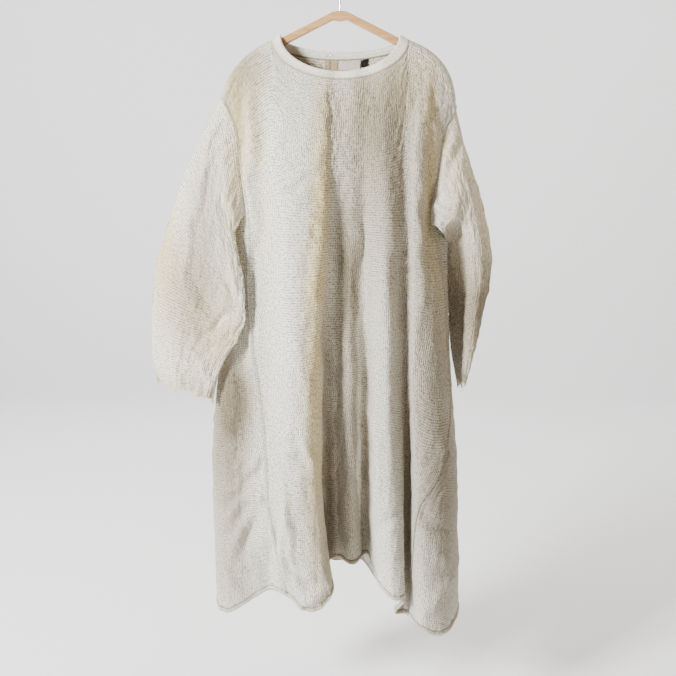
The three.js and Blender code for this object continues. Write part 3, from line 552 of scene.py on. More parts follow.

# %% [markdown]
# ## Creases, laid one by one
#
# The big folds come from the table. A worn robe also has creases: where it was folded
# away, where the arm rubbed, where the seam pulls. Each is a row with its two ends as
# seen from the front (x, z), its width and its height. A soft capsule around that
# line is pushed out or in along the cloth's own normal. Rows of the same kind are used
# behind, so that the back isn't much smoother than the front.

# %% The crease table
CREASES = {
    # from x, z to x, z, half width, height; all in millimetres
    "front": [
        (-114, -432, -54, -393, 7, 3), (-110, -446, -60, -408, 6, -2), (-115, -460, -66, -470, 6, 2.2),
        (-65, -506, -34, -532, 7, -3.2), (-60, -492, -30, -516, 6, 2.4), (-36, -540, 0, -622, 9, 3),
        (-20, -255, -21, -590, 5, -3.4), (-60, -290, -64, -660, 30, 6.5), (12, -260, 18, -660, 24, -7.5),
        (-37, -290, -39, -580, 11, 3.4), (-48, -560, -51, -780, 12, 4), (-29, -560, -31, -780, 10, -5.5),
        (86, -330, 98, -760, 20, 5.5), (124, -320, 130, -700, 14, -3.5), (158, -270, 164, -720, 13, 4.5),
        (182, -300, 186, -560, 10, -3.5), (-157, -280, -163, -700, 14, -5.5),
        (-183, -280, -186, -480, 11, 4.5), (-110, -300, -104, -660, 26, 4), (128, -579, 163, -581, 8, 3),
        (120, -596, 160, -602, 7, -2.4), (-14, -270, 65, -284, 6, 2.2), (-10, -300, 70, -312, 6, -2.1),
        (-14, -338, 66, -350, 6, 2.2), (-6, -372, 76, -378, 7, -2.4), (-12, -404, 70, -402, 6, 2.1),
        (-14, -440, 66, -428, 7, 2.2), (-174, -536, -194, -721, 14, -9), (-194, -721, -208, -810, 15, -9),
        (-208, -810, -214, -909, 14, -5), (-262, -924, -210, -950, 11, 6.8),
        (-258, -1000, -196, -1024, 12, 8.8), (-200, -1052, -160, -1000, 8, -8.8),
        (-180, -1012, -164, -978, 9, 8.1), (-256, -1088, -214, -1050, 10, 8.1),
        (-253, -1139, -198, -1078, 11, 8.8), (-198, -1076, -146, -1068, 9, 8.1),
        (-226, -1192, -190, -1112, 10, 8.1), (-208, -1202, -176, -1120, 10, -8.1),
        (-158, -1292, -142, -1150, 14, -13.5), (-118, -1060, -106, -1124, 8, 8.8),
        (-106, -1124, -96, -1232, 8, 8.1), (-128, -1246, -112, -1112, 10, 9.5),
        (-103, -1212, -70, -1252, 9, -10.1), (-70, -1252, -37, -1256, 8, -8.8),
        (-88, -1308, -37, -1272, 9, 9.5), (-125, -976, -70, -952, 9, 6.8),
        (-70, -952, -57, -1004, 9, 6.1), (-240, -1254, -218, -1300, 9, 6.8),
        (82, -1152, 118, -1112, 11, -6.8), (62, -902, 82, -968, 9, 6.1), (80, -968, 82, -1112, 8, 7.4),
        (160, -1090, 207, -1133, 12, -8.1), (207, -1133, 245, -1160, 12, -8.1),
        (176, -1328, 244, -1236, 12, 8.8), (204, -958, 240, -1000, 9, 6.8),
        (190, -1180, 236, -1216, 11, 6.1), (60, -700, 98, -820, 10, 2.6), (-22, -700, -24, -1220, 11, -9),
        (13, -760, 20, -1240, 17, 7), (41, -760, 43, -1240, 4, 3.2), (56, -740, 58, -1230, 8, -7),
        (-80, -700, -66, -900, 14, 2.5), (-90, -930, -60, -1090, 12, -2.2),
        (186, -240, 205, -330, 10, -3.4), (172, -235, 190, -330, 10, 3), (-196, -250, -190, -380, 9, -4),
        (-180, -240, -172, -380, 10, 3.2), (-122, -230, -168, -300, 10, 1.8),
        (122, -230, 160, -300, 10, 1.8),
    ],
    "back": [
        (-150, -300, -60, -330, 10, 3.6), (-130, -260, -140, -640, 26, 6), (96, -300, 92, -700, 28, 6.5),
        (20, -330, 26, -760, 22, -5.5), (-64, -760, -72, -1240, 22, 7), (176, -560, 196, -900, 16, -6),
        (40, -280, 150, -310, 9, -2.2), (-180, -420, -90, -470, 8, 2.8), (100, -440, 180, -400, 8, 2.6),
        (-60, -520, 10, -560, 8, -2.8), (20, -600, 110, -570, 8, 2.4), (-170, -640, -120, -760, 12, -5),
        (120, -680, 150, -820, 12, -5), (-40, -700, -70, -860, 10, 2.6), (-200, -930, -140, -960, 7, 2.8),
        (150, -980, 210, -950, 7, 3), (60, -1010, 90, -1120, 9, -3.2),
        (-110, -1090, -150, -1210, 9, -3.4), (-30, -1160, -60, -1290, 9, 3.2),
        (170, -1180, 150, -1300, 8, 3.2),
    ],
}
WANDER, WANDER_LENGTH = 0.35, 2.1  # how far a crease strays and over what length, in half widths
SWELL = 0.45  # how much lower a crease is at its ends than in its middle
CREASE_END = 1.6  # how softly it ends, in its half widths
CRINKLES = [
    # height, waves across, waves down, phase
    (0.9, 31, 17, 0.4), (0.7, 57, 11, 2.2), (0.6, 23, 41, 4.4), (0.45, 83, 37, 1.1), (0.4, 47, 71, 3.0),
]


def facing_share(normals, face, turn, start):
    """1 where the cloth faces the front or the back, and 0 where it has turned away."""
    towards = -normals[..., 1] if face == "front" else normals[..., 1]
    return smooth(towards * turn + start)


def crease_depth(points, normals, table=CREASES):
    """The height of all creases at every point; they fade towards their ends."""
    x, z = points[..., 0], points[..., 2]
    height = np.zeros_like(x)
    for face, rows in table.items():
        facing = facing_share(normals, face, 3, 0.4)
        for from_x, from_z, to_x, to_z, width, tall in rows:
            dx, dz = to_x - from_x, to_z - from_z
            length = math.hypot(dx, dz)
            along = ((x - from_x) * dx + (z - from_z) * dz) / length
            wander = WANDER * width * np.sin(along / (width * WANDER_LENGTH) + from_x)
            off = ((x - from_x) * dz - (z - from_z) * dx) / length + wander
            past = np.maximum(np.maximum(-along, along - length), 0)
            swell = mix(1, np.sin(np.clip(along / length, 0, 1) * math.pi), SWELL)
            fade = np.exp(-(off / width) ** 2 - (past / (CREASE_END * width)) ** 2)
            height += tall * facing * swell * fade
    return height


def crinkle(u, v, size):
    """Soft unevenness of worn cloth: a few sines that never line up."""
    return size * sum(tall * np.sin(p * u + q * v + phase + 1.3 * np.sin(q * u - p * v))
                      for tall, p, q, phase in CRINKLES)


print("creases:", {face: len(rows) for face, rows in CREASES.items()})

# %% [markdown]
# Yellowing, grime and painted light are laid the same way, as soft round patches.
# Besides yellowing at the neck, shoulders and sleeves, there are strips of painted warm
# light along the flanks of folds, and painted shade on the chest, the sides and the
# sleeves' lower lobes. Patches alone would miss the folds, so `recess` measures how far
# each place lies behind the crests beside it, and the recesses get painted shade.

# %% The patches of age and painted light
AGE_AND_PAINTED_LIGHT = {
    # x, z, half width, half height, yellow, grime; yellow includes painted warm light, grime painted shade
    "front": [
        (-214, -400, 18, 190, 0.6, 0), (-196, -290, 34, 120, 0.45, 0.05),
        (-160, -480, 12, 230, 0.25, 0.12), (-38, -400, 18, 160, 0.7, 0), (-53, -640, 20, 150, 0.62, 0),
        (-53, -960, 22, 270, 0.54, 0.04), (182, -400, 16, 190, 0.62, 0.06),
        (130, -230, 60, 60, 0.3, 0.14), (-196, -190, 60, 80, 0.26, 0.56),
        (-80, -1120, 60, 170, 0.04, 0.16), (66, -290, 90, 120, 0.26, 0.5), (88, -450, 86, 220, 0.1, 0.6),
        (120, -860, 70, 260, 0.04, 0.34), (15, -620, 26, 140, 0.1, 0.24),
        (-24, -1060, 13, 300, 0.2, 0.42), (-20, -1190, 22, 90, 0.1, 0.22), (57, -1030, 9, 280, 0.1, 0.3),
        (-212, -868, 34, 74, 0.14, 0.74), (-246, -960, 64, 270, 0.24, 0.8),
        (-250, -1270, 60, 90, 0.12, 0.24), (196, -700, 44, 260, 0.14, 0.4),
        (222, -1090, 72, 300, 0.06, 0.8),
    ],
    "back": [
        (-100, -250, 120, 80, 0.45, 0.04), (90, -260, 120, 90, 0.4, 0.04), (0, -700, 60, 300, 0.2, 0.05),
        (140, -1250, 120, 90, 0.14, 0.14), (-140, -1260, 120, 90, 0.16, 0.14),
    ],
}
# How the recesses between the folds are darkened and warmed: painted shade.
RECESS = {"reach": 75.0, "from": 5.0, "full": 55.0, "below": -300, "over": 200, "yellow": 0.12,
          "grime_and_shade": 0.60}
FAR_BEHIND = -1e3


# Adds up the patches: yellowing and grime, with painted warm light and painted shade on fold flanks, chest,
# sides and sleeves.
def age_and_light_tint(points, normals, table=AGE_AND_PAINTED_LIGHT, base=(0.05, 0.0)):
    x, z = points[..., 0], points[..., 2]
    yellow, grime_and_shade = np.full_like(x, base[0]), np.full_like(x, base[1])
    for face, rows in table.items():
        facing = facing_share(normals, face, 2, 0.6)
        for at_x, at_z, wide, tall, more_yellow, more_grime_and_shade in rows:
            near = facing * np.exp(-((x - at_x) / wide) ** 2 - ((z - at_z) / tall) ** 2)
            yellow, grime_and_shade = yellow + more_yellow * near, grime_and_shade + more_grime_and_shade * near
    return np.stack([np.clip(yellow, 0, 1), np.clip(grime_and_shade, 0, 1), np.zeros_like(x)], -1)


def recess(points, side):
    """From 0 to 1, how far each place lies behind the crests on both sides of it."""
    depth = np.empty(points.shape[:2])
    for row, (x, out) in enumerate(zip(points[..., 0], side * points[..., 1])):
        apart = x[None, :] - x[:, None]
        near = abs(apart) < RECESS["reach"]
        crests = [np.where((apart * way >= 0) & near, out[None, :], FAR_BEHIND).max(axis=1)
                  for way in (1, -1)]
        depth[row] = np.minimum(*crests) - out
    return smooth((depth - RECESS["from"]) / (RECESS["full"] - RECESS["from"]))


print("patches of age:", {face: len(rows) for face, rows in AGE_AND_PAINTED_LIGHT.items()})

# %% [markdown]
# ## The front and the two back halves
#
# Rows are packed closer near the top edge and the hem, and columns near the seams,
# because that is where a tailor works. Edges that are turned and stitched down, such
# as the hem and the felled seams, stand nearly two millimetres proud, with a groove
# where the stitches pull. Under the right arm the cloth is eased out in a soft bulge,
# so that no gap is left beside the sleeve. `SURFACES` keeps every finished surface, so
# that stitches can be laid on it afterwards.

# %% Body panels
ARMHOLE_ROWS = np.array([0, 1.6, 5, 11, 24, 46, 76, 112, 152, 188, 214, 230]) / 230
PACKED_ROWS = ([0, 0.07, 0.36, 0.92, 1], [0, 0.104, 1, 1.9835, 2])
PACKED_COLUMNS = {"front": ([0, 0.05, 0.95, 1], [0, 0.022, 0.978, 1]),
                  "back": ([0, 0.09, 0.91, 1], [0, 0.04, 0.96, 1])}
HEM = {"deep": 9.0, "proud": 1.7}
FELL = {"deep": 7.5, "proud": 1.8}
UNDER_ARM = {"z": -532.0, "tall": 34.0, "from_middle": 60, "proud": 9.5}
FLAT = {"side": 14, "top": 40}
BEHIND_LABEL = {"x": -10, "half": 75, "over": 20, "z": -310, "rise": 30}
PUCKERS = {
    # pitch, the length over which it strays, how far in from the edge, spread, height
    "hem": (3.1, 17, 11, 6, 0.7), "fell": (2.9, 19, 5, 6, 0.45)}
STITCH_IN = 1.6
SEAM_GAP = 0.03
FELLED = {"front": (True, True), "back_right": (False, True), "back_left": (False, False)}
SURFACES = {}


def lengths(points, axis):
    """Distance along the rows or columns of a grid, from its first one."""
    step = np.linalg.norm(np.diff(points, axis=axis), axis=-1)
    first = np.zeros_like(points[:1, :, 0] if axis == 0 else points[:, :1, 0])
    return np.concatenate([first, np.cumsum(step, axis=axis)], axis=axis)


def turned_edge(from_edge, deep, proud):
    raised = proud * smooth((deep - from_edge) / 1.6 + 0.5)
    roll = -0.9 * np.exp(-(from_edge / 1.2) ** 2)
    groove = -0.55 * proud * np.exp(-((from_edge - deep + STITCH_IN) / 1.0) ** 2)
    return raised + roll + groove


def puckers(kind, along, from_edge):
    pitch, stray, middle, spread, tall = PUCKERS[kind]
    waves = np.sin(along / pitch + 2 * np.sin(along / stray))
    return tall * (waves * np.exp(-((from_edge - middle) / spread) ** 2))


def dark_line(distance, middle, spread, amount):
    """Darker along a groove or a fold, `middle` away from an edge."""
    return amount * np.exp(-((distance - middle) / spread) ** 2)


def keep(name, points, tint, is_tube=False):
    normals = grid_normals(points, is_tube)
    SURFACES[name] = points, normals
    return shell(name, points, normals, cloth_uv(points, is_tube), tint, cotton, is_tube)


def body_panel(name, columns, rows):
    packed = PACKED_COLUMNS["front" if name == "front" else "back"]
    v = np.interp(np.linspace(0, 1, rows), *PACKED_ROWS)[:, None]
    u = np.interp(np.linspace(0, 1, columns), *packed)[None, :]
    points = panel_point(name, *np.broadcast_arrays(u, v))
    points[:, 0] += unit(points[:, 1] - points[:, 0]) * SEAM_GAP
    points[:, -1] += unit(points[:, -2] - points[:, -1]) * SEAM_GAP
    points[0, :, 2] -= SEAM_GAP
    fall, width = lengths(points, 0), lengths(points, 1)
    from_hem, from_right = fall[-1:] - fall, width[:, -1:] - width
    from_side = np.minimum(width, from_right)
    normals = grid_normals(points)
    x, z = points[..., 0], points[..., 2]
    behind_label = smooth((BEHIND_LABEL["half"] - abs(x - BEHIND_LABEL["x"])) / BEHIND_LABEL["over"])
    behind_label = behind_label * smooth((z - BEHIND_LABEL["z"]) / BEHIND_LABEL["rise"]) * (name != "front")
    under_arm = UNDER_ARM["proud"] * np.exp(-((z - UNDER_ARM["z"]) / UNDER_ARM["tall"]) ** 2)
    under_arm = under_arm * smooth(x / UNDER_ARM["from_middle"])
    points[..., 0] += under_arm * smooth(2 * normals[..., 0])
    free = smooth(from_side / FLAT["side"]) * smooth(fall / FLAT["top"]) * (1 - behind_label)
    lift = (crease_depth(points, normals) + crinkle(u * 2, v * 2, 0.6)) * free
    lift += turned_edge(from_hem, HEM["deep"], HEM["proud"]) + puckers("hem", width, from_hem)
    for felled, distance in zip(FELLED[name], (width, from_right)):
        if felled:
            lift += turned_edge(distance, FELL["deep"], FELL["proud"]) + puckers("fell", fall, distance)
    points = points + normals * lift[..., None]
    tint = age_and_light_tint(points, grid_normals(points))
    side = -1 if name == "front" else 1
    # Recesses between the folds, below the chest, are darkened and warmed as painted shade.
    low = smooth((RECESS["below"] - z) / RECESS["over"])
    hollow = recess(points, side) * low * smooth(3 * side * normals[..., 1])
    tint[..., 0] += RECESS["yellow"] * hollow
    tint[..., 1] += RECESS["grime_and_shade"] * hollow
    # Darker along the hem's stitch groove and its last few millimetres, and along the felled seams' edges
    # and stitch grooves.
    tint[..., 1] += dark_line(from_hem, HEM["deep"], 2.4, 0.55) + 0.45 * smooth((4 - from_hem) / 2)
    for felled, distance in zip(FELLED[name], (width, from_right)):
        tint[..., 1] += felled * (dark_line(distance, 0, 2.2, 0.55)
                                  + dark_line(distance, FELL["deep"] - STITCH_IN, 1.5, 0.35))
    return keep(name + "_cloth", points, tint)


SIZE = {"front": ((280, 172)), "back": ((150, 172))}
front = body_panel("front", *SIZE["front"])
back_right = body_panel("back_right", *SIZE["back"])
back_left = body_panel("back_left", *SIZE["back"])
for piece in (front, back_right, back_left):
    print(piece.name, len(piece.data.polygons), "faces")

# %% [markdown]
# ## The sleeves
#
# Each sleeve starts exactly on its armhole and ends in a torn cuff. Between them it
# is a tube through tilted sections: a table gives the section's outer and inner end,
# and a second one how the eight points round it bulge. The left sleeve hangs open
# with its inner edge in front of the body. The right one is turned back on itself.

# %% Sleeve tables
ARMHOLE_GAP = 0.5
HEAD_BLEND = 0.13
ROUND = 8
RAGGED = [
    # waves round the cuff, height, phase
    (5, 4.5, 0.6), (11, 3, 2.1), (17, 2, 4.0)]
SLEEVES = {
    "left": {
        # at, outer (x, z), inner (x, z)
        "sections": [
            (0, (-240, -257), (-205, -487)), (0.12, (-266, -301), (-213, -518)),
            (0.26, (-302, -368), (-207, -560)), (0.4, (-331, -433), (-198, -605)),
            (0.54, (-362, -516), (-195, -656)), (0.67, (-385, -591), (-194, -693)),
            (0.8, (-399, -685), (-213, -739)), (0.9, (-403, -762), (-247, -800)),
            (1, (-392, -835), (-268, -865))],
        # at, share of the way from outer to inner end, y; at eight points round
        "profiles": [
            (0.12, (0, 0.18, 0.5, 0.85, 1, 0.8, 0.55, 0.22), (0, -18, -34, -44, -42, 0, 26, 19)),
            (0.26, (0, 0.26, 0.56, 0.88, 1, 0.8, 0.55, 0.2), (10, -28, -44, -54, -50, -34, 27, 32)),
            (0.5, (0, 0.33, 0.62, 0.9, 1, 0.72, 0.5, 0.2), (20, -36, -54, -64, -60, -46, 34, 44)),
            (0.8, (0, 0.33, 0.62, 0.9, 1, 0.74, 0.5, 0.2), (20, -34, -50, -62, -58, -44, 30, 42)),
            (1, (0, 0.3, 0.6, 0.9, 1, 0.8, 0.5, 0.15), (12, -30, -44, -46, -38, -26, 22, 30))]},
    "right": {
        "sections": [
            (0, (235, -275), (188, -505)), (0.12, (250, -333), (201, -512)),
            (0.24, (268, -389), (212, -520)), (0.36, (288, -445), (222, -545)),
            (0.49, (304, -511), (226, -590)), (0.61, (317, -585), (230, -640)),
            (0.72, (310, -648), (234, -700)), (0.82, (299, -703), (238, -755)),
            (0.92, (287, -772), (245, -805)), (1, (271, -833), (254, -847))],
        "profiles": [
            (0.12, (0, 0.18, 0.5, 0.85, 1, 0.82, 0.55, 0.22), (0, -20, -38, -42, -34, 4, 30, 18)),
            (0.24, (0, 0.2, 0.5, 0.82, 1, 0.95, 0.62, 0.2), (0, -28, -46, -46, -28, 16, 40, 26)),
            (0.4, (0, 0.28, 0.56, 0.66, 1, 0.82, 0.46, 0.08), (0, -36, -30, 8, 38, 57, 50, 24)),
            (0.8, (0, 0.28, 0.58, 0.64, 1, 0.82, 0.46, 0.08), (0, -34, -24, 14, 38, 55, 50, 22)),
            (1, (0, 0.3, 0.7, 0.8, 1, 0.8, 0.5, 0.08), (0, -18, -14, 0, 20, 34, 30, 14))]},
}


def armhole(side):
    """The armhole as a closed chain: down the front edge, up the back edge."""
    rows = ARMHOLE_ROWS

    def edge(name, u):
        further_in = mix(u, 0.5, 2 / PANELS[name]["columns"])
        here = panel_point(name, np.full_like(rows, u), rows)
        inside = panel_point(name, np.full_like(rows, further_in), rows)
        away = unit(here - inside)
        away[-1] = (0, 0, 1)
        return here + away * ARMHOLE_GAP
    down = edge("front", 0 if side == "left" else 1)
    up = edge("back_left", 1) if side == "left" else edge("back_right", 0)
    return down, np.concatenate([up[::-1], down[:1]])


def along_chain(halves, share):
    def on(part, at):
        length = np.concatenate([[0], np.cumsum(np.linalg.norm(np.diff(part, axis=0), axis=1))])
        return np.stack([np.interp(at * length[-1], length, part[:, k]) for k in range(3)], -1)
    return np.where((share <= 0.5)[..., None], on(halves[0], share * 2), on(halves[1], share * 2 - 1))


def sleeve_point(side, halves, u, v, tatter=0.0):
    sections, profiles = SLEEVES[side]["sections"], SLEEVES[side]["profiles"]
    share = u - np.floor(u)
    at = np.clip(v, 0, 1)
    knots = [row[0] for row in sections]
    section = lambda end, axis: through(knots, [row[end][axis] for row in sections], at)
    places = [row[0] for row in profiles]

    def ring(which):
        table = np.array([row[which] for row in profiles], float)
        column = lambda i: table[:, i].transpose(*range(1, i.ndim + 1), 0)
        return round_ring(ROUND, lambda i: through(places, column(i), at), share * ROUND)
    along = ring(1)
    ragged = sum(height * np.sin(2 * math.pi * waves * share + phase)
                 for waves, height, phase in RAGGED) + tatter
    free = np.stack([
        mix(section(1, 0), section(2, 0), along), ring(2),
        mix(section(1, 1), section(2, 1), along) + ragged * smooth((v - 0.9) * 10)], -1)
    hold = smooth(v / HEAD_BLEND)[..., None]
    return mix(along_chain(halves, share), free, hold)


print("the left cuff's outer end:", sleeve_point("left", armhole("left"), np.zeros(1), np.ones(1)).round())

# %% [markdown]
# The raw cuff frays: the weave comes apart in short steps, so a rough edge with two
# sizes of notches is added to the last rows. Threads and knots follow further down.

# %% Sleeve shells
SLEEVE_CREASES = {
    "left": {
        "front": [
            (-251, -298, -269, -359, 9, 4), (-269, -359, -277, -418, 9, 4.5),
            (-277, -418, -303, -507, 10, 4.5), (-303, -507, -318, -588, 9, 4),
            (-318, -588, -319, -617, 9, 3.5), (-290, -500, -300, -600, 10, -4),
            (-306, -611, -259, -677, 9, -4.5), (-318, -640, -270, -700, 9, 4),
            (-363, -703, -299, -734, 8, 4), (-299, -734, -307, -706, 7, 3.5),
            (-223, -684, -258, -719, 9, -6), (-258, -719, -288, -732, 8, -5.5),
            (-308, -764, -286, -791, 7, 4), (-286, -791, -266, -836, 7, 3.6),
            (-309, -745, -206, -737, 7, 4.2), (-225, -580, -198, -657, 7, 4),
            (-240, -600, -212, -668, 7, -3.5), (-340, -560, -356, -640, 12, 3),
            (-375, -740, -330, -790, 9, -3.5), (-230, -420, -212, -500, 10, 4),
            (-246, -440, -226, -530, 9, -3.5), (-350, -800, -330, -840, 8, 3),
            (-262, -395, -280, -500, 14, -5), (-320, -470, -345, -560, 14, 4),
        ],
        "back": [
            (-260, -330, -300, -480, 11, 4), (-310, -520, -340, -650, 12, -4.5),
            (-350, -680, -300, -720, 9, 4), (-330, -760, -290, -830, 9, -3.5),
            (-250, -540, -280, -640, 10, 3.6),
        ],
    },
    "right": {
        "front": [
            (228, -330, 200, -420, 9, 4.5), (240, -345, 214, -430, 8, -4), (186, -458, 244, -494, 10, 9),
            (196, -490, 244, -526, 8, -7), (210, -440, 292, -520, 12, 4), (271, -612, 309, -640, 9, 3.5),
            (262, -650, 300, -664, 8, -3.5), (282, -560, 310, -600, 9, -3), (256, -700, 290, -716, 8, 3),
            (252, -760, 284, -780, 7, -3),
        ],
        "back": [
            (240, -360, 270, -480, 11, 4), (260, -520, 300, -640, 11, -4), (250, -660, 280, -760, 9, 3.6),
        ],
    },
}
# Yellowing and grime on the sleeves, with painted warm light on their outer edges and painted shade on
# their lower lobes.
SLEEVE_AGE_AND_PAINTED_LIGHT = {
    "front": [
        (-270, -330, 40, 90, 0.1, 0), (-374, -540, 40, 170, 0.6, 0), (-308, -650, 66, 120, 0.24, 0.62),
        (-280, -480, 30, 130, 0.14, 0.42), (-250, -740, 60, 70, 0.3, 0.08),
        (-330, -830, 70, 30, 0.1, 0.05), (-225, -640, 24, 90, 0.22, 0), (-214, -400, 20, 120, 0.4, 0),
        (240, -420, 40, 60, 0.15, 0), (306, -480, 24, 60, 0.45, 0), (310, -690, 60, 120, 0.4, 1),
        (236, -650, 32, 150, 0.25, 0.6), (200, -330, 30, 60, 0.42, 0.04),
    ],
    "back": [
        (-320, -560, 70, 160, 0.35, 0.03), (270, -560, 50, 160, 0.35, 0.03),
    ],
}
TATTER = {"wide": 6.0, "fine": 1.8, "from": 0.94, "over": 5}
SLEEVE_SEED = {"left": 7, "right": 11}
SLEEVE_BASE = (0.12, 0.0)


def sleeve(side, around, rows):
    halves = armhole(side)
    turn = 1 if side == "left" else -1
    v = np.linspace(0, 1, rows)[:, None] ** 1.1
    u = turn * np.arange(around)[None, :] / around + 0 * v
    v = v + 0 * u
    rough = np.random.default_rng(SLEEVE_SEED[side])
    coarse, fine = rough.uniform(-1, 1, around), rough.uniform(-1, 1, around)
    over = TATTER["over"]
    coarse = np.convolve(np.tile(coarse, 3), np.ones(over) / over, "same")[around:2 * around]
    notches = (TATTER["wide"] * coarse + TATTER["fine"] * fine)[None, :]
    tatter = notches * smooth((v - TATTER["from"]) * 17)
    points = sleeve_point(side, halves, u, v, tatter)
    normals = grid_normals(points, True)
    lift = crease_depth(points, normals, SLEEVE_CREASES[side]) + crinkle(u * 2, v * 1.2, 0.7)
    lift = lift * smooth((v - 0.01) * 14)
    points = points + normals * lift[..., None]
    tint = age_and_light_tint(points, grid_normals(points, True), SLEEVE_AGE_AND_PAINTED_LIGHT, SLEEVE_BASE)
    tint[..., 0] += 0.25 * smooth((v - 0.965) * 30)
    return keep(f"sleeve_{side}_cloth", points, tint, True)


SLEEVE_SIZE = ((240, 195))
sleeve_left = sleeve("left", *SLEEVE_SIZE)
sleeve_right = sleeve("right", *SLEEVE_SIZE)
print(sleeve_left.name, len(sleeve_left.data.polygons), "faces")

# %% [markdown]
# ## Sweeping a section
#
# Bands, wires and threads are all a section carried along a path. `sweep` joins rings
# of points into one closed mesh; `ring_along` makes round rings for a wire, turning
# them smoothly so that the wire never twists.

# %% Sweep helpers
@contextmanager
def mended(mesh):
    """Opens a mesh for mending, and writes the mended one back."""
    mend = bmesh.new()
    mend.from_mesh(mesh)
    yield mend
    mend.to_mesh(mesh)
    mend.free()


def sweep(name, rings, material, uv=None, tint=None, is_loop=False):
    rings = np.asarray(rings)
    stations, count = rings.shape[:2]
    faces = quads(stations, count, True).tolist()
    if is_loop:
        last, first = (stations - 1) * count + np.arange(count), np.arange(count)
        faces += np.stack([last, first, np.roll(first, -1), np.roll(last, -1)], -1).tolist()
    else:
        faces += [list(range(count)), list(range((stations - 1) * count, stations * count))[::-1]]
    flat = lambda a: None if a is None else np.asarray(a).reshape(stations * count, -1)
    piece = make_mesh(name, rings.reshape(-1, 3), faces, flat(uv), flat(tint), material)
    with mended(piece.data) as mend:
        bmesh.ops.recalc_face_normals(mend, faces=mend.faces)
    return piece


ANY_WAY = (0.31, 0.53, 0.79)  # along no path here, so that the first ring has a side to start from


def ring_along(path, radius, sides):
    path = np.asarray(path, float)
    radius = np.broadcast_to(radius, len(path))
    tangent = unit(np.gradient(path, axis=0))
    side = np.cross(tangent[0], ANY_WAY)
    angle = 2 * math.pi * np.arange(sides)[:, None] / sides
    rings = []
    for p, t, r in zip(path, tangent, radius):
        side = unit(side - np.dot(side, t) * t)
        rings.append(p + r * (np.cos(angle) * side + np.sin(angle) * np.cross(t, side)))
    return np.array(rings)


def curve_through(points, per=8):
    """A smooth line through points, with `per` steps between two of them."""
    points = np.asarray(points, float)
    ends = [2 * points[0] - points[1], *points, 2 * points[-1] - points[-2]]
    line = []
    for p, q, r, s in zip(ends, ends[1:], ends[2:], ends[3:]):
        for t in np.arange(per) / per:
            line.append(0.5 * (2 * q + (r - p) * t + (2 * p - 5 * q + 4 * r - s) * t * t
                               + (3 * q - 3 * r + s - p) * t ** 3))
    return np.array([*line, points[-1]])


print("a smooth line through 3 points:", len(curve_through([(0, 0, 0), (1, 1, 0), (2, 0, 0)])), "points")

# %% [markdown]
# ## The neck band
#
# A narrow bias strip is folded over the raw neck edge. Its rim is rolled and firm,
# because the cloth is doubled there, and along its lower edge the seam pulls it into
# tiny puckers. The same stations carry the topstitching later.

# %% Neck band
BAND = {"thick": 3.6, "middle": -1.0, "ends_apart": 0.3, "rim_depth": 0.92, "pucker": 0.22}
BAND_SECTION = np.array([
    # share of the height, share of the thickness: up the outside, over, down the inside
    (-0.10, 0.40), (0.08, 0.62), (0.32, 0.54), (0.6, 0.6), (0.82, 0.66), (0.96, 0.5), (1.0, 0.0),
    (0.95, -0.44), (0.75, -0.6), (0.4, -0.56), (0.12, -0.6), (-0.10, -0.42)])
BAND_RUNS = [
    # panel, from and to (share of its width), stations
    ("back_right", 1, 11 / 24, 70), ("front", 38.6 / 52, 5.4 / 52, 190), ("back_left", 9 / 24, 0, 60)]


def neck_stations():
    seams, rims = [], []
    for name, start, end, count in BAND_RUNS:
        u = np.linspace(start, end, count)
        seam = panel_point(name, u, np.zeros(count))
        drop = NECK["rim_front_drop" if name == "front" else "rim_back_drop"]
        low = np.sqrt(np.clip(1 - (seam[:, 0] / NECK["half_width"]) ** 2, 0, 1))
        rim_x = seam[:, 0] * NECK["rim_half_width"] / NECK["half_width"]
        seams.append(seam)
        rims.append(np.stack([rim_x, seam[:, 1] * BAND["rim_depth"], NECK["rim_z"] - drop * low], -1))
    return np.concatenate(seams), np.concatenate(rims)


def smooth_along(points, times):
    for _ in range(times):
        between = (points[:-2] + 2 * points[1:-1] + points[2:]) / 4
        points = np.concatenate([points[:1], between, points[-1:]])
    return points


neck_seam, neck_rim = [smooth_along(line, 4) for line in neck_stations()]
neck_up = neck_rim - neck_seam
neck_facing = unit(np.cross(neck_up, np.gradient(neck_seam, axis=0)))
neck_length = lengths(neck_seam[None], 1)[0]
places = np.arange(0, len(BAND_SECTION), 1 / 3)
rise, side = [round_ring(len(BAND_SECTION), lambda i: BAND_SECTION[i, k], places) for k in (0, 1)]
pucker = BAND["pucker"] * np.sin(neck_length / 1.9 + 1.5 * np.sin(neck_length / 11))[:, None]
pucker = pucker * np.exp(-((rise - 0.12) / 0.16) ** 2)
out = BAND["middle"] + side * BAND["thick"] + np.sign(side) * pucker
rings = neck_seam[:, None] + neck_up[:, None] * rise[:, None] + neck_facing[:, None] * out[..., None]
rings[0, :, 0] += BAND["ends_apart"]
rings[-1, :, 0] -= BAND["ends_apart"]
band_uv = np.stack(np.broadcast_arrays(neck_length[:, None], (np.arange(len(places)) * 1.3)[None]), -1) * MM
band_tint = np.zeros((*rings.shape[:2], 3))
band_tint[..., 0] = 0.10 + 0.3 * np.exp(-((rise - 0.1) / 0.1) ** 2)
band_tint[..., 1] = 0.7 * smooth((0.12 - rise) / 0.08)
band = sweep("neck_band_cloth", rings, band_cotton, band_uv, band_tint)
print("neck band:", round(neck_length[-1]), "mm along the seam")

# %% [markdown]
# ## Tapes, label and tab inside the neck
#
# They lie on the inner side of the back, so each is made from the panel's own points,
# moved in by the cloth's thickness and a little more. The label and the tab are only
# caught at their upper edge and stand off a little below. Nothing is printed on them.

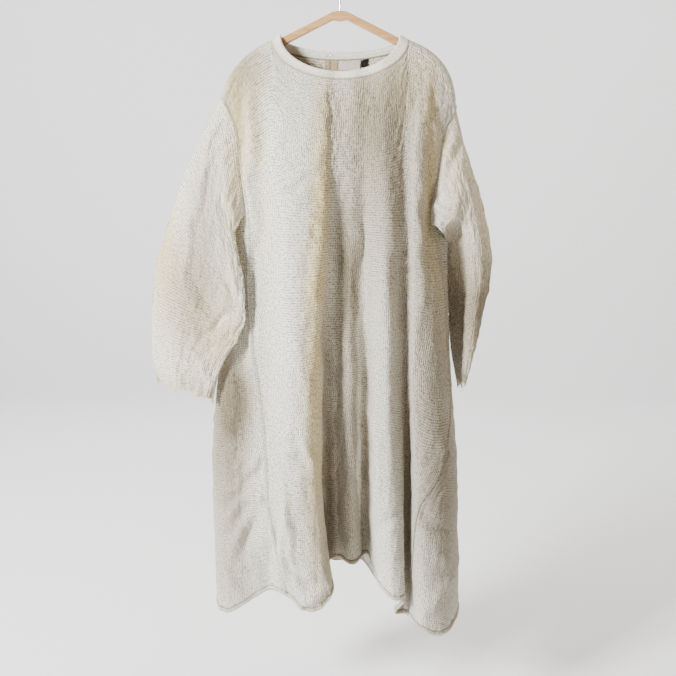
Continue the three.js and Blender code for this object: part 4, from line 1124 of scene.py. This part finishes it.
# %% Patches
PATCHES = [
    # name, panel, x from and to, how far down from and to, stand-off below, tilt
    ("slit_tape_right_strip", "back_right", (-4, -18.6), (1.5, 108), 0.0, 0.0),
    ("slit_tape_left_strip", "back_left", (-20.4, -31), (1.5, 108), 0.0, 0.0),
    ("neck_label_strip", "back_right", (43, -2.5), (2, 28), 1.6, 0.4),
    ("size_tab_strip", "back_right", (57.4, 44.6), (1.6, 15.6), 1.2, 1.6),
]
PATCH = {"thick": 0.7, "gap": 0.5, "columns": 24, "rows": 40}
SLIT_TOP = -176
NECK_PART = {"back_right": (0.5, 1.0), "back_left": (0.0, 0.375)}


def across_at(name, x):
    """The u of the panel's top edge at a given x."""
    u = np.linspace(*NECK_PART[name], 500)
    knots, values = PANELS[name]["stops"]
    at = top_edge(through(knots, values, u * PANELS[name]["columns"]), PANELS[name]["drop"])[0]
    return np.interp(-x, -at, u)


def patch(name, panel, x, down, stand_off, tilt, material):
    columns = PATCH["columns"]
    share = np.linspace(0, 1, PATCH["rows"])[:, None]
    u = mix(across_at(panel, x[0]), across_at(panel, x[1]), np.linspace(0, 1, columns))[None, :]
    lean = tilt * np.linspace(-0.5, 0.5, columns)[None, :]
    v = (mix(*down, share) + lean) / (SLIT_TOP - UNDERARM["right"])
    base = panel_point(panel, u + 0 * v, v + 0 * u)
    normals = grid_normals(base)
    curl = stand_off * share ** 2 * (1 + 0.25 * np.sin(np.linspace(0, 7, columns)))[None, :]
    outer = base - normals * (CLOTH + PATCH["gap"] + curl)[..., None]
    size = [lengths(outer, 1), -lengths(outer, 0)]
    return shell(name, outer, normals, np.stack(size, -1) * MM, np.zeros_like(outer), material,
                 thick=PATCH["thick"])


def woven(name, colour, second, threads, roughness=0.85, gloss=0.3):
    """A plain or ribbed weave from two crossing waves on the UV map."""
    material, tree, shader = nodes_of(name)
    waves = []
    for direction, count in zip("XY", threads):
        wave = node(tree, "ShaderNodeTexWave", wave_type="BANDS", bands_direction=direction,
                    Scale=count / 2, Distortion=0.4, Detail=1.0)
        link(tree, place_on(tree, "UV"), wave.inputs["Vector"])
        waves.append(wave.outputs["Fac"])
    weave = math_node(tree, "MULTIPLY", *waves)
    worn = stretched(tree, 20, 160, 90, 3.0)
    shade = weighted(tree, [(weave, 0.6), (worn, 0.5)])
    link(tree, blend(tree, shade, second, colour), shader.inputs["Base Color"])
    bump(tree, shader, weave, 0.0003, 0.8)
    set_surface(shader, Roughness=roughness, Specular_IOR_Level=gloss)
    return material


tan_tape = woven("tan_tape", (0.60, 0.45, 0.27), (0.36, 0.26, 0.15), (900, 500))
label_weave = woven("label_weave", (0.80, 0.74, 0.66), (0.62, 0.55, 0.47), (1800, 1200), 0.6)
black_weave = woven("black_weave", (0.018, 0.018, 0.02), (0.006, 0.006, 0.007), (1500, 900), 0.8, 0.15)
trim_finish = dict(zip([row[0] for row in PATCHES], [tan_tape, tan_tape, label_weave, black_weave]))
trims = {row[0]: patch(*row, trim_finish[row[0]]) for row in PATCHES}
print("trims:", sorted(trims))

# %% [markdown]
# ## Stitches
#
# One Geometry Nodes tree sews everything. It turns a path of edges into a curve,
# cuts it at the stitch spacing, and lays a small grain of thread at every cut. A grain
# points along the path, or leans across it by `Slant`, which gives whipped edges. The
# result is made a plain mesh, so that nothing live is left.

# %% The stitching tree
def wire(tree, *links):
    """Joins node to node: from a node's output to a node's input, by place or name."""
    for source, way_out, target, way_in in links:
        link(tree, source.outputs[way_out], target.inputs[way_in])


def stitching():
    tree = bpy.data.node_groups.new("stitching", "GeometryNodeTree")

    def socket(name, kind, way="INPUT"):
        tree.interface.new_socket(name=name, in_out=way, socket_type=kind)
    socket("Path", "NodeSocketGeometry")
    for name in ("Spacing", "Length", "Thickness", "Slant"):
        socket(name, "NodeSocketFloat")
    socket("Thread", "NodeSocketMaterial")
    socket("Stitches", "NodeSocketGeometry", "OUTPUT")
    given = node(tree, "NodeGroupInput")
    result = node(tree, "NodeGroupOutput")
    curve = node(tree, "GeometryNodeMeshToCurve")
    cut = node(tree, "GeometryNodeResampleCurve", mode="LENGTH")
    grain = node(tree, "GeometryNodeMeshIcoSphere", Radius=0.5, Subdivisions=1)
    size = node(tree, "ShaderNodeCombineXYZ")
    shape = node(tree, "GeometryNodeTransform")
    along = node(tree, "GeometryNodeInputTangent")
    across = node(tree, "GeometryNodeInputNamedAttribute", data_type="FLOAT_VECTOR", Name="across")
    lean = node(tree, "ShaderNodeVectorMath", operation="SCALE")
    direction = node(tree, "ShaderNodeVectorMath", operation="ADD")
    turned = node(tree, "FunctionNodeAlignRotationToVector", axis="X")
    laid = node(tree, "GeometryNodeInstanceOnPoints")
    real = node(tree, "GeometryNodeRealizeInstances")
    soft = node(tree, "GeometryNodeSetShadeSmooth")
    finish = node(tree, "GeometryNodeSetMaterial")
    wire(tree, (given, "Path", curve, "Mesh"), (curve, 0, cut, "Curve"), (given, "Spacing", cut, "Length"),
         (given, "Length", size, 0), (given, "Thickness", size, 1), (given, "Thickness", size, 2),
         (grain, "Mesh", shape, "Geometry"), (size, 0, shape, "Scale"), (across, "Attribute", lean, 0),
         (given, "Slant", lean, "Scale"), (along, 0, direction, 0), (lean, 0, direction, 1),
         (direction, 0, turned, "Vector"), (cut, 0, laid, "Points"), (shape, 0, laid, "Instance"),
         (turned, 0, laid, "Rotation"), (laid, 0, real, 0), (real, 0, soft, "Geometry"),
         (soft, 0, finish, "Geometry"), (given, "Thread", finish, "Material"), (finish, 0, result, 0))
    return tree


STITCHING = stitching()


def sew(name, paths, thread, spacing, length, thickness, slant=0.0):
    """Stitches along (points, normals) paths in millimetres, as one plain mesh."""
    points, edges, across, start = [], [], [], 0
    for line, normals in paths:
        tangent = unit(np.gradient(line, axis=0))
        points.append(line)
        across.append(unit(np.cross(normals, tangent)))
        edges += [(start + i, start + i + 1) for i in range(len(line) - 1)]
        start += len(line)
    mesh = bpy.data.meshes.new(name + "_path")
    mesh.from_pydata((np.concatenate(points) * MM).tolist(), edges, [])
    leaning = mesh.attributes.new("across", "FLOAT_VECTOR", "POINT")
    leaning.data.foreach_set("vector", np.concatenate(across).ravel())
    path = placed(name + "_path", mesh)
    modifier = path.modifiers.new("sew", "NODES")
    modifier.node_group = STITCHING
    values = {"Spacing": spacing * MM, "Length": length * MM, "Thickness": thickness * MM,
              "Slant": float(slant), "Thread": thread}
    for socket in STITCHING.interface.items_tree:
        if socket.name in values:
            modifier[socket.identifier] = values[socket.name]
    graph = bpy.context.evaluated_depsgraph_get()
    made = bpy.data.meshes.new_from_object(path.evaluated_get(graph))
    if "across" in made.attributes:
        made.attributes.remove(made.attributes["across"])
    path.modifiers.remove(modifier)
    bpy.data.objects.remove(path)
    return placed(name, made)


def thread_material(name, colour, dark):
    material, tree, shader = nodes_of(name)
    fibres = speckle(tree, 900.0, 2.0)
    link(tree, blend(tree, fibres, dark, colour), shader.inputs["Base Color"])
    bump(tree, shader, fibres, 0.0002, 0.5)
    set_surface(shader, Roughness=0.75)
    return material


sewing_thread = thread_material("sewing_thread", (0.74, 0.69, 0.57), (0.46, 0.41, 0.31))
frayed_yarn = thread_material("frayed_yarn", (0.82, 0.78, 0.68), (0.60, 0.54, 0.42))
black_thread = thread_material("black_thread", (0.03, 0.03, 0.03), (0.01, 0.01, 0.01))
print("stitching tree:", len(STITCHING.nodes), "nodes")

# %% [markdown]
# Where a row of stitches runs is read off the finished surfaces: the line at a given
# distance from an edge. Felled seams carry two rows, the hem one and a whipped edge,
# the armholes two, and the neck band two close ones.

# %% Rows of stitches
STITCH_LIFT = 0.12  # how far a stitch's middle stands off the cloth
ROW_STEPS = 30


def line_at(grid, distance, target):
    """Where `distance`, which grows along each row of a grid, reaches a value."""
    return np.array([[np.interp(target, d, p[:, k]) for k in range(3)]
                     for d, p in zip(distance, grid)])


def edge_line(name, edge, distance, lift=STITCH_LIFT):
    """The line on a cloth's outside at a distance from its left, right, top or hem."""
    points, normals = SURFACES[name]
    if edge in ("top", "hem"):
        points, normals = points.transpose(1, 0, 2), normals.transpose(1, 0, 2)
    if edge in ("right", "hem"):
        points, normals = points[:, ::-1], normals[:, ::-1]
    away = lengths(points, 1)
    facing = unit(line_at(normals, away, distance))
    return line_at(points, away, distance) + facing * lift, facing


def part_of(line, start, end):
    count = len(line[0])
    return tuple(a[int(start * count):int(end * count)] for a in line)


BODY_CLOTHS = ("front_cloth", "back_right_cloth", "back_left_cloth")
FELLED_EDGES = (("front_cloth", "left"), ("front_cloth", "right"), ("back_right_cloth", "right"))
WHIP_IN = 1.3
ARMHOLE_STITCHES = (2.2, 7.0)
body_rows = [part_of(edge_line(name, edge, distance), 0.02, 0.985) for name, edge in FELLED_EDGES
             for distance in (STITCH_IN, FELL["deep"] - STITCH_IN)]
hem_rows = [part_of(edge_line(name, "hem", HEM["deep"] - STITCH_IN), 0.015, 0.985) for name in BODY_CLOTHS]
whip_rows = [part_of(edge_line(name, "hem", WHIP_IN, 0.0), 0.005, 0.995) for name in BODY_CLOTHS]
sleeve_rows = [edge_line(name, "top", distance) for name in ("sleeve_left_cloth", "sleeve_right_cloth")
               for distance in ARMHOLE_STITCHES]


def on_band(height, lift=0.1):
    along = rings[:, int(np.argmin(abs(rise - height) + 9 * (side < 0.3)))]
    return along + neck_facing * lift, neck_facing


band_rows = [on_band(0.2), on_band(0.28)]
SEWN = [
    # name, rows, spacing, length, thickness and slant of a stitch
    ("seam_stitches", body_rows + sleeve_rows, 3.0, 2.3, 0.65, 0),
    ("hem_stitches", hem_rows, 3.2, 2.5, 0.75, 0),
    ("hem_whipping", whip_rows, 5.4, 7.2, 2.6, 1.2),
    ("band_stitches", band_rows, 2.1, 1.5, 0.55, 0),
]
seams = {name: sew(name, rows, sewing_thread, *stitch) for name, rows, *stitch in SEWN}


def patch_rows(name, places):
    """Lines on the side of a patch that faces the front, from (u, v) to (u, v)."""
    piece = trims[name].data
    count = len(piece.vertices) // 2
    inner = np.empty(len(piece.vertices) * 3)
    piece.vertices.foreach_get("co", inner)
    grid = inner.reshape(-1, 3)[count:].reshape(PATCH["rows"], PATCH["columns"], 3) / MM
    normals = -grid_normals(grid)
    lines = []
    for start, end in places:
        at = np.linspace(start, end, ROW_STEPS)
        rows, columns = at[:, 1] * (PATCH["rows"] - 1), at[:, 0] * (PATCH["columns"] - 1)
        r, c = [np.floor(a - 1e-6).astype(int).clip(0) for a in (rows, columns)]
        s, t = (rows - r)[:, None], (columns - c)[:, None]
        four = lambda a: mix(mix(a[r, c], a[r, c + 1], t), mix(a[r + 1, c], a[r + 1, c + 1], t), s)
        facing = unit(four(normals))
        lines.append((four(grid) + facing * STITCH_LIFT, facing))
    return lines


RIGHT_BARS = [((0.2, 0.03 + k / 13), (0.8, 0.065 + k / 13)) for k in range(13)]
LEFT_BARS = [((0.25, 0.04 + k / 8), (0.75, 0.075 + k / 8)) for k in range(7)]
PATCH_ROWS = [
    # name; rows by patch, each from (u, v) to (u, v); thread, spacing, length, thickness
    ("tape_stitches",
     {"slit_tape_right_strip": [((0.08, 0.01), (0.08, 0.99)), ((0.92, 0.01), (0.92, 0.99))],
      "slit_tape_left_strip": [((0.1, 0.01), (0.1, 0.99)), ((0.9, 0.01), (0.9, 0.99))]},
     sewing_thread, 2.6, 2.0, 0.55),
    ("tape_bars", {"slit_tape_right_strip": RIGHT_BARS, "slit_tape_left_strip": LEFT_BARS},
     frayed_yarn, 1.5, 2.2, 0.9),
    ("label_stitches",
     {"neck_label_strip": [((0.02, 0.07), (0.98, 0.07)), ((0.03, 0.06), (0.03, 0.3)),
                           ((0.97, 0.06), (0.97, 0.3))]},
     sewing_thread, 2.0, 1.5, 0.45),
    ("tab_stitches", {"size_tab_strip": [((0.06, 0.12), (0.94, 0.12))]}, black_thread, 1.8, 1.3, 0.4),
]
for name, rows_of, *stitch in PATCH_ROWS:
    paths = [path for strip, rows in rows_of.items() for path in patch_rows(strip, rows)]
    seams[name] = sew(name, paths, *stitch)
for piece in seams.values():
    print(piece.name, len(piece.data.polygons), "faces")

# %% [markdown]
# ## Torn cuffs
#
# Where cotton is torn across, loose yarns hang out of the edge: most only a few
# millimetres long, a few much longer, all curling. Three tangles have balled up into
# knots. Each yarn is a thin tube on a path that starts inside the cloth's edge.

# %% Frayed yarns
CUFF_YARN = {"shortest": 2.4, "more": 4.6, "longest": 24, "radius": 0.26, "sides": 3}
KNOT_YARN = {"loops": 26, "steps": 22, "holds": 5, "radius": 0.42, "sides": 4}


def yarns(name, paths, radius, sides, material):
    points, faces, start = [], [], 0
    for path in paths:
        taper = radius * np.linspace(1.0, 0.55, len(path))
        rings = ring_along(path, taper, sides)
        count = len(rings) * sides
        points.append(rings.reshape(-1, 3))
        faces += (quads(len(rings), sides, True)[:, ::-1] + start).tolist()
        first, last = range(start, start + sides), range(start + count - sides, start + count)
        faces += [list(first), list(last)[::-1]]
        start += count
    return make_mesh(name, np.concatenate(points), faces, material=material)


def curling(rng, start, direction, length, steps=9, curl=0.45):
    path, heading = [np.array(start, float)], unit(np.array(direction, float))
    turn = rng.normal(0, curl, 3)
    for _ in range(steps - 1):
        heading = unit(heading + turn * 0.5 + rng.normal(0, 0.16, 3) + np.array((0, 0, -0.16)))
        path.append(path[-1] + heading * length / (steps - 1))
    return np.array(path)


def cuff_yarns(side, count, seed):
    rng = np.random.default_rng(seed)
    points, normals = SURFACES[f"sleeve_{side}_cloth"]
    around = points.shape[1]
    paths = []
    for _ in range(count):
        i = int(rng.integers(around))
        edge, above, facing = points[-1, i], points[-3, i], normals[-1, i]
        down = unit(edge - above)
        length = min(rng.exponential(CUFF_YARN["more"]) + CUFF_YARN["shortest"], CUFF_YARN["longest"])
        start = edge - facing * rng.uniform(0.3, 1.7) - down * 1.5
        sideways = unit(np.cross(down, facing)) * rng.normal(0, 0.5) + facing * rng.normal(0.05, 0.25)
        paths.append(curling(rng, start, down + sideways, length))
    return paths


KNOTS = [
    # name, side, where round the cuff, how far below, radius, hanging yarns, their reach
    ("frayed_knot_left_outer", "left", 0.0, 2.2, 5.5, 9, 22),
    ("frayed_knot_left_inner", "left", 0.47, 3.5, 5.0, 8, 12),
    ("frayed_knot_right", "right", 0.46, 5.2, 4.5, 7, 10),
]


def knot(name, side, at, below, radius, threads, reach, seed):
    rng = np.random.default_rng(seed)
    cuff = sleeve_point(side, armhole(side), np.array(at), np.array(1.0))
    centre = cuff - np.array((0, 0, radius * 0.8 + below))
    paths = []
    steps = KNOT_YARN["steps"]
    for _ in range(KNOT_YARN["loops"]):
        wander = np.cumsum(rng.normal(0, 1, (steps, 3)), axis=0)
        wander = unit(wander - wander.mean(axis=0)) * (radius * rng.uniform(0.45, 0.95, (steps, 1)))
        wander = smooth_along(smooth_along(wander, 1), 1)
        paths.append(centre + wander * np.array((0.9, 0.8, 0.85)))
    for k in range(threads):
        out = np.array((math.cos(2.4 * k), 0.7 * math.sin(2.4 * k), -1.0))
        length = reach * rng.uniform(0.5, 1.0)
        paths.append(curling(rng, centre + out * radius * 0.4, out * (0.5, 0.5, 1.4), length))
    for _ in range(KNOT_YARN["holds"]):
        hold = cuff + np.array((rng.normal(0, 2), rng.normal(0, 1), 3.0))
        middle = mix(hold, centre, 0.5) + rng.normal(0, 1, 3)
        paths.append(curve_through([hold, middle, centre], 5))
    return yarns(name + "_yarns", paths, KNOT_YARN["radius"], KNOT_YARN["sides"], frayed_yarn)


knots = {row[0]: knot(*row, 20 + k) for k, row in enumerate(KNOTS)}
FRAYS = [
    # side, yarns, seed
    ("left", 210, 3), ("right", 150, 4)]
fray_left, fray_right = [
    yarns("fray_" + side, cuff_yarns(side, count, seed), CUFF_YARN["radius"], CUFF_YARN["sides"],
          frayed_yarn) for side, count, seed in FRAYS]
print("frayed yarns:", len(fray_left.data.polygons) + len(fray_right.data.polygons), "faces")

# %% [markdown]
# ## Hook and eye, and the coat hanger
#
# The slit is closed by one wire hook and eye under the band's end. The hanger is the
# plain kind of lacquered beech: two arms, a round trouser bar and a bent wire hook.

# %% Metal and wood finishes
def steel(name, roughness):
    material, tree, shader = nodes_of(name)
    wear = speckle(tree, 260.0, 3.0)
    grey = ramp(tree, wear, [(0.2, (0.52, 0.52, 0.52)), (0.8, (0.70, 0.70, 0.71))])
    link(tree, grey, shader.inputs["Base Color"])
    link(tree, math_node(tree, "MULTIPLY", wear, 2 * roughness), shader.inputs["Roughness"])
    set_surface(shader, Metallic=1.0)
    return material


BEECH_TONES = [(0.3, (0.40, 0.20, 0.08)), (0.55, (0.56, 0.31, 0.13)), (0.8, (0.66, 0.40, 0.19))]


def beech():
    material, tree, shader = nodes_of("beech")
    mapping = node(tree, "ShaderNodeMapping")
    mapping.inputs["Scale"].default_value = (4, 60, 60)
    grain = node(tree, "ShaderNodeTexNoise", Scale=2.2, Detail=6.0, Roughness=0.6, Distortion=0.6)
    flecks = node(tree, "ShaderNodeTexNoise", Scale=14.0, Detail=2.0)
    link(tree, place_on(tree, "Object"), mapping.inputs["Vector"])
    for noise in (grain, flecks):
        link(tree, mapping.outputs[0], noise.inputs["Vector"])
    tone = ramp(tree, grain.outputs["Fac"], BEECH_TONES)
    fleck = ramp(tree, flecks.outputs["Fac"], [(0.55, WHITE), (0.7, (0.72, 0.62, 0.52))])
    link(tree, blend(tree, 1.0, tone, fleck, "MULTIPLY"), shader.inputs["Base Color"])
    bump(tree, shader, grain.outputs["Fac"], 0.0003, 0.4)
    set_surface(shader, Roughness=0.38, Coat_Weight=0.35, Coat_Roughness=0.2)
    return material


bright_wire = steel("bright_wire", 0.16)
fine_wire = steel("fine_wire", 0.22)
wood = beech()
print("finishes:", bright_wire.name, fine_wire.name, wood.name)

# %% Hook, eye and hanger
FASTENER = {"wire": 0.4, "ring": 2.2, "z": -169, "hook_from": -29, "eye_x": -16.6, "gap": 0.3}
RING_STATIONS, WIRE_SIDES = 32, 8
at_slit = neck_seam[0, 1] * (1 + BAND["rim_depth"]) / 2
on_face = at_slit + BAND["middle"] - BAND["thick"] * 0.6 - FASTENER["gap"] - FASTENER["wire"]
turn = np.linspace(0, 2 * math.pi, RING_STATIONS + 1)[:-1]
outwards = np.stack([np.cos(turn), np.sin(turn), 0 * turn], -1)
circle = np.array((FASTENER["eye_x"], on_face, FASTENER["z"])) + FASTENER["ring"] * outwards
small = 2 * math.pi * np.arange(WIRE_SIDES)[None, :, None] / WIRE_SIDES
round_wire = np.cos(small) * outwards[:, None] + np.sin(small) * np.array((0, 0, 1.0))
eye_ring = sweep("eye_ring", circle[:, None] + FASTENER["wire"] * round_wire, fine_wire, is_loop=True)
left, z = FASTENER["eye_x"] - FASTENER["ring"], FASTENER["z"]
hook_route = [(FASTENER["hook_from"], on_face, z - 1.2), (left - 4, on_face, z - 0.6),
              (left - 1.6, on_face - 0.5, z), (left, on_face - 1.25, z),
              (left + 1.4, on_face - 1.0, z), (left + 1.9, on_face - 0.1, z)]
hook_rings = ring_along(curve_through(hook_route), FASTENER["wire"], WIRE_SIDES)
hook_wire = sweep("hook_wire", hook_rings, fine_wire)

HOOK = {"wire": 1.9, "inside": 17, "shoulder": (4, 0, -42), "throat": -58, "neck": -72, "seat": -101}
radius = HOOK["inside"] + HOOK["wire"]
bend = np.radians(np.arange(200, -49, -8.0))
arc = [(radius * math.cos(a), 0, radius * math.sin(a) - HOOK["inside"]) for a in bend]
below = [(0, 0, HOOK[level]) for level in ("throat", "neck", "seat")]
stem = curve_through([arc[-1], HOOK["shoulder"], *below], 8)[1:]
hanger_wire = sweep("hanger_wire", ring_along(np.concatenate([arc, stem]), HOOK["wire"], 16), bright_wire)


SAME_PLACE = 1e-5


def refined(name, node_name, material, bevel=0.8):
    """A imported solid's mesh as a new piece, with merged points and a fine bevel."""
    piece = placed(name, bpy.data.objects[node_name].data.copy())
    with mended(piece.data) as mend:
        bmesh.ops.remove_doubles(mend, verts=mend.verts, dist=SAME_PLACE)
        bmesh.ops.dissolve_limit(mend, angle_limit=math.radians(1), verts=mend.verts, edges=mend.edges)
    piece.data.materials.clear()
    piece.data.materials.append(material)
    edge = piece.modifiers.new("edge", "BEVEL")
    edge.width, edge.segments = bevel * MM, 2
    edge.limit_method, edge.angle_limit = "ANGLE", math.radians(40)
    piece.data.shade_smooth()
    piece.modifiers.new("smooth", "WEIGHTED_NORMAL")
    return piece


arms = refined("hanger_arms", "hanger_wood", wood)
BAR_Z, BAR_STATIONS = -206, [
    # x and radius: the ends are a little rounded
    (-185.7, 5.7), (-184.9, 6.5), (-60, 6.5), (60, 6.5), (184.9, 6.5), (185.7, 5.7)]
bar_path = [(x, 0, BAR_Z) for x, _ in BAR_STATIONS]
bar = sweep("trouser_bar", ring_along(bar_path, np.array([r for _, r in BAR_STATIONS]), 32), wood)
print("hanger:", len(arms.data.polygons), "faces in the arms")

# %% [markdown]
# ## Light and floor
#
# One soft light from the left and front, a little above the robe, models the flutes
# and leaves their right-hand sides in shade. Weak warm ones from the front and the
# right keep the shadows readable, one lights the back, and two the backdrop. A pale
# floor, which turns up behind in a wide curve, stands well below the hem.

# %% Floor and lights
MIDDLE, BACKDROP = Vector((0, 0, -0.72)), Vector((0.5, 3.5, -0.4))
LIGHTS = [
    # name, place, size, watts and colour
    ("key", (-2.2, -1.8, 0.45), 0.7, 292, (0.97, 0.99, 1.0)),
    ("front", (0.2, -3.4, 0.1), 2.2, 7, (1.0, 0.86, 0.66)),
    ("right", (2.2, -0.6, 1.2), 0.9, 29, (1.0, 0.78, 0.42)),
    ("rear", (-0.6, 2.4, 0.6), 2.0, 30, (1.0, 1.0, 1.0)),
    ("backdrop_left", (-2.6, 0.9, 1.4), 1.6, 105, (1.0, 1.0, 1.0)),
    ("backdrop_right", (2.6, 0.9, 1.4), 1.6, 105, (1.0, 1.0, 1.0)),
]
for name, place, size, watts, colour in LIGHTS:
    data = bpy.data.lights.new(name, "AREA")
    data.size, data.energy, data.color = size, watts, colour
    lamp = placed(name, data)
    lamp.location = place
    aim = BACKDROP if name.startswith("backdrop") else MIDDLE
    lamp.rotation_euler = (aim - lamp.location).to_track_quat("-Z", "Y").to_euler()

world = bpy.data.worlds.new("studio")
world.use_nodes = True
set_surface(world.node_tree.nodes["Background"], Color=(1, 1, 1, 1), Strength=0.045)
bpy.context.scene.world = world

FLOOR = {"z": -1.62, "half": 7.0, "back": 3.0, "round": 0.8, "tall": 5.0}
profile = [(-FLOOR["half"], FLOOR["z"])]
for a in np.linspace(0, math.pi / 2, 13):
    profile.append((FLOOR["back"] + FLOOR["round"] * math.sin(a),
                    FLOOR["z"] + FLOOR["round"] * (1 - math.cos(a))))
profile.append((FLOOR["back"] + FLOOR["round"], FLOOR["z"] + FLOOR["tall"]))
sheet_points = [(x / MM, y / MM, z / MM) for y, z in profile for x in (-FLOOR["half"], FLOOR["half"])]
sheet_faces = [(2 * i, 2 * i + 1, 2 * i + 3, 2 * i + 2) for i in range(len(profile) - 1)]
paper, _, paper_shader = nodes_of("studio_paper")
set_surface(paper_shader, Base_Color=(0.95, 0.95, 0.95, 1), Roughness=0.9)
make_mesh("backdrop", sheet_points, sheet_faces, material=paper)
print("lights:", [row[0] for row in LIGHTS])

# %% [markdown]
# ## Joining the frame
#
# Every piece rides on the one body, and the imported solids that it stands for are
# hidden. The table also lists a finish for each piece.

# %% Frame calls
COTTON_SLOT = "crinkled_cotton"
PIECES = [
    # piece, finish, imported solids that it stands for
    (front, COTTON_SLOT, ["front_panel"]), (back_right, COTTON_SLOT, ["back_right"]),
    (back_left, COTTON_SLOT, ["back_left"]), (sleeve_left, COTTON_SLOT, ["sleeve_left"]),
    (sleeve_right, COTTON_SLOT, ["sleeve_right"]), (band, COTTON_SLOT, ["neck_band"]),
    (trims["slit_tape_right_strip"], "slit_tape", ["slit_tape_right"]),
    (trims["slit_tape_left_strip"], "slit_tape", ["slit_tape_left"]),
    (trims["neck_label_strip"], "label", ["neck_label"]),
    (trims["size_tab_strip"], "black_tab", ["size_tab"]),
    (eye_ring, "steel_wire", ["eye"]), (hook_wire, "steel_wire", ["hook"]),
    (hanger_wire, "steel_wire", ["hanger_hook"]), (arms, "hanger_wood", ["hanger_wood"]),
    (bar, "hanger_wood", ["hanger_bar"]),
    *((piece, COTTON_SLOT, [name]) for name, piece in knots.items()),
    (fray_left, COTTON_SLOT, []), (fray_right, COTTON_SLOT, []),
    *((piece, COTTON_SLOT, []) for piece in seams.values()),
]
for piece, finish, solids in PIECES:
    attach(piece, "root")
    if solids:
        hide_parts(*solids)
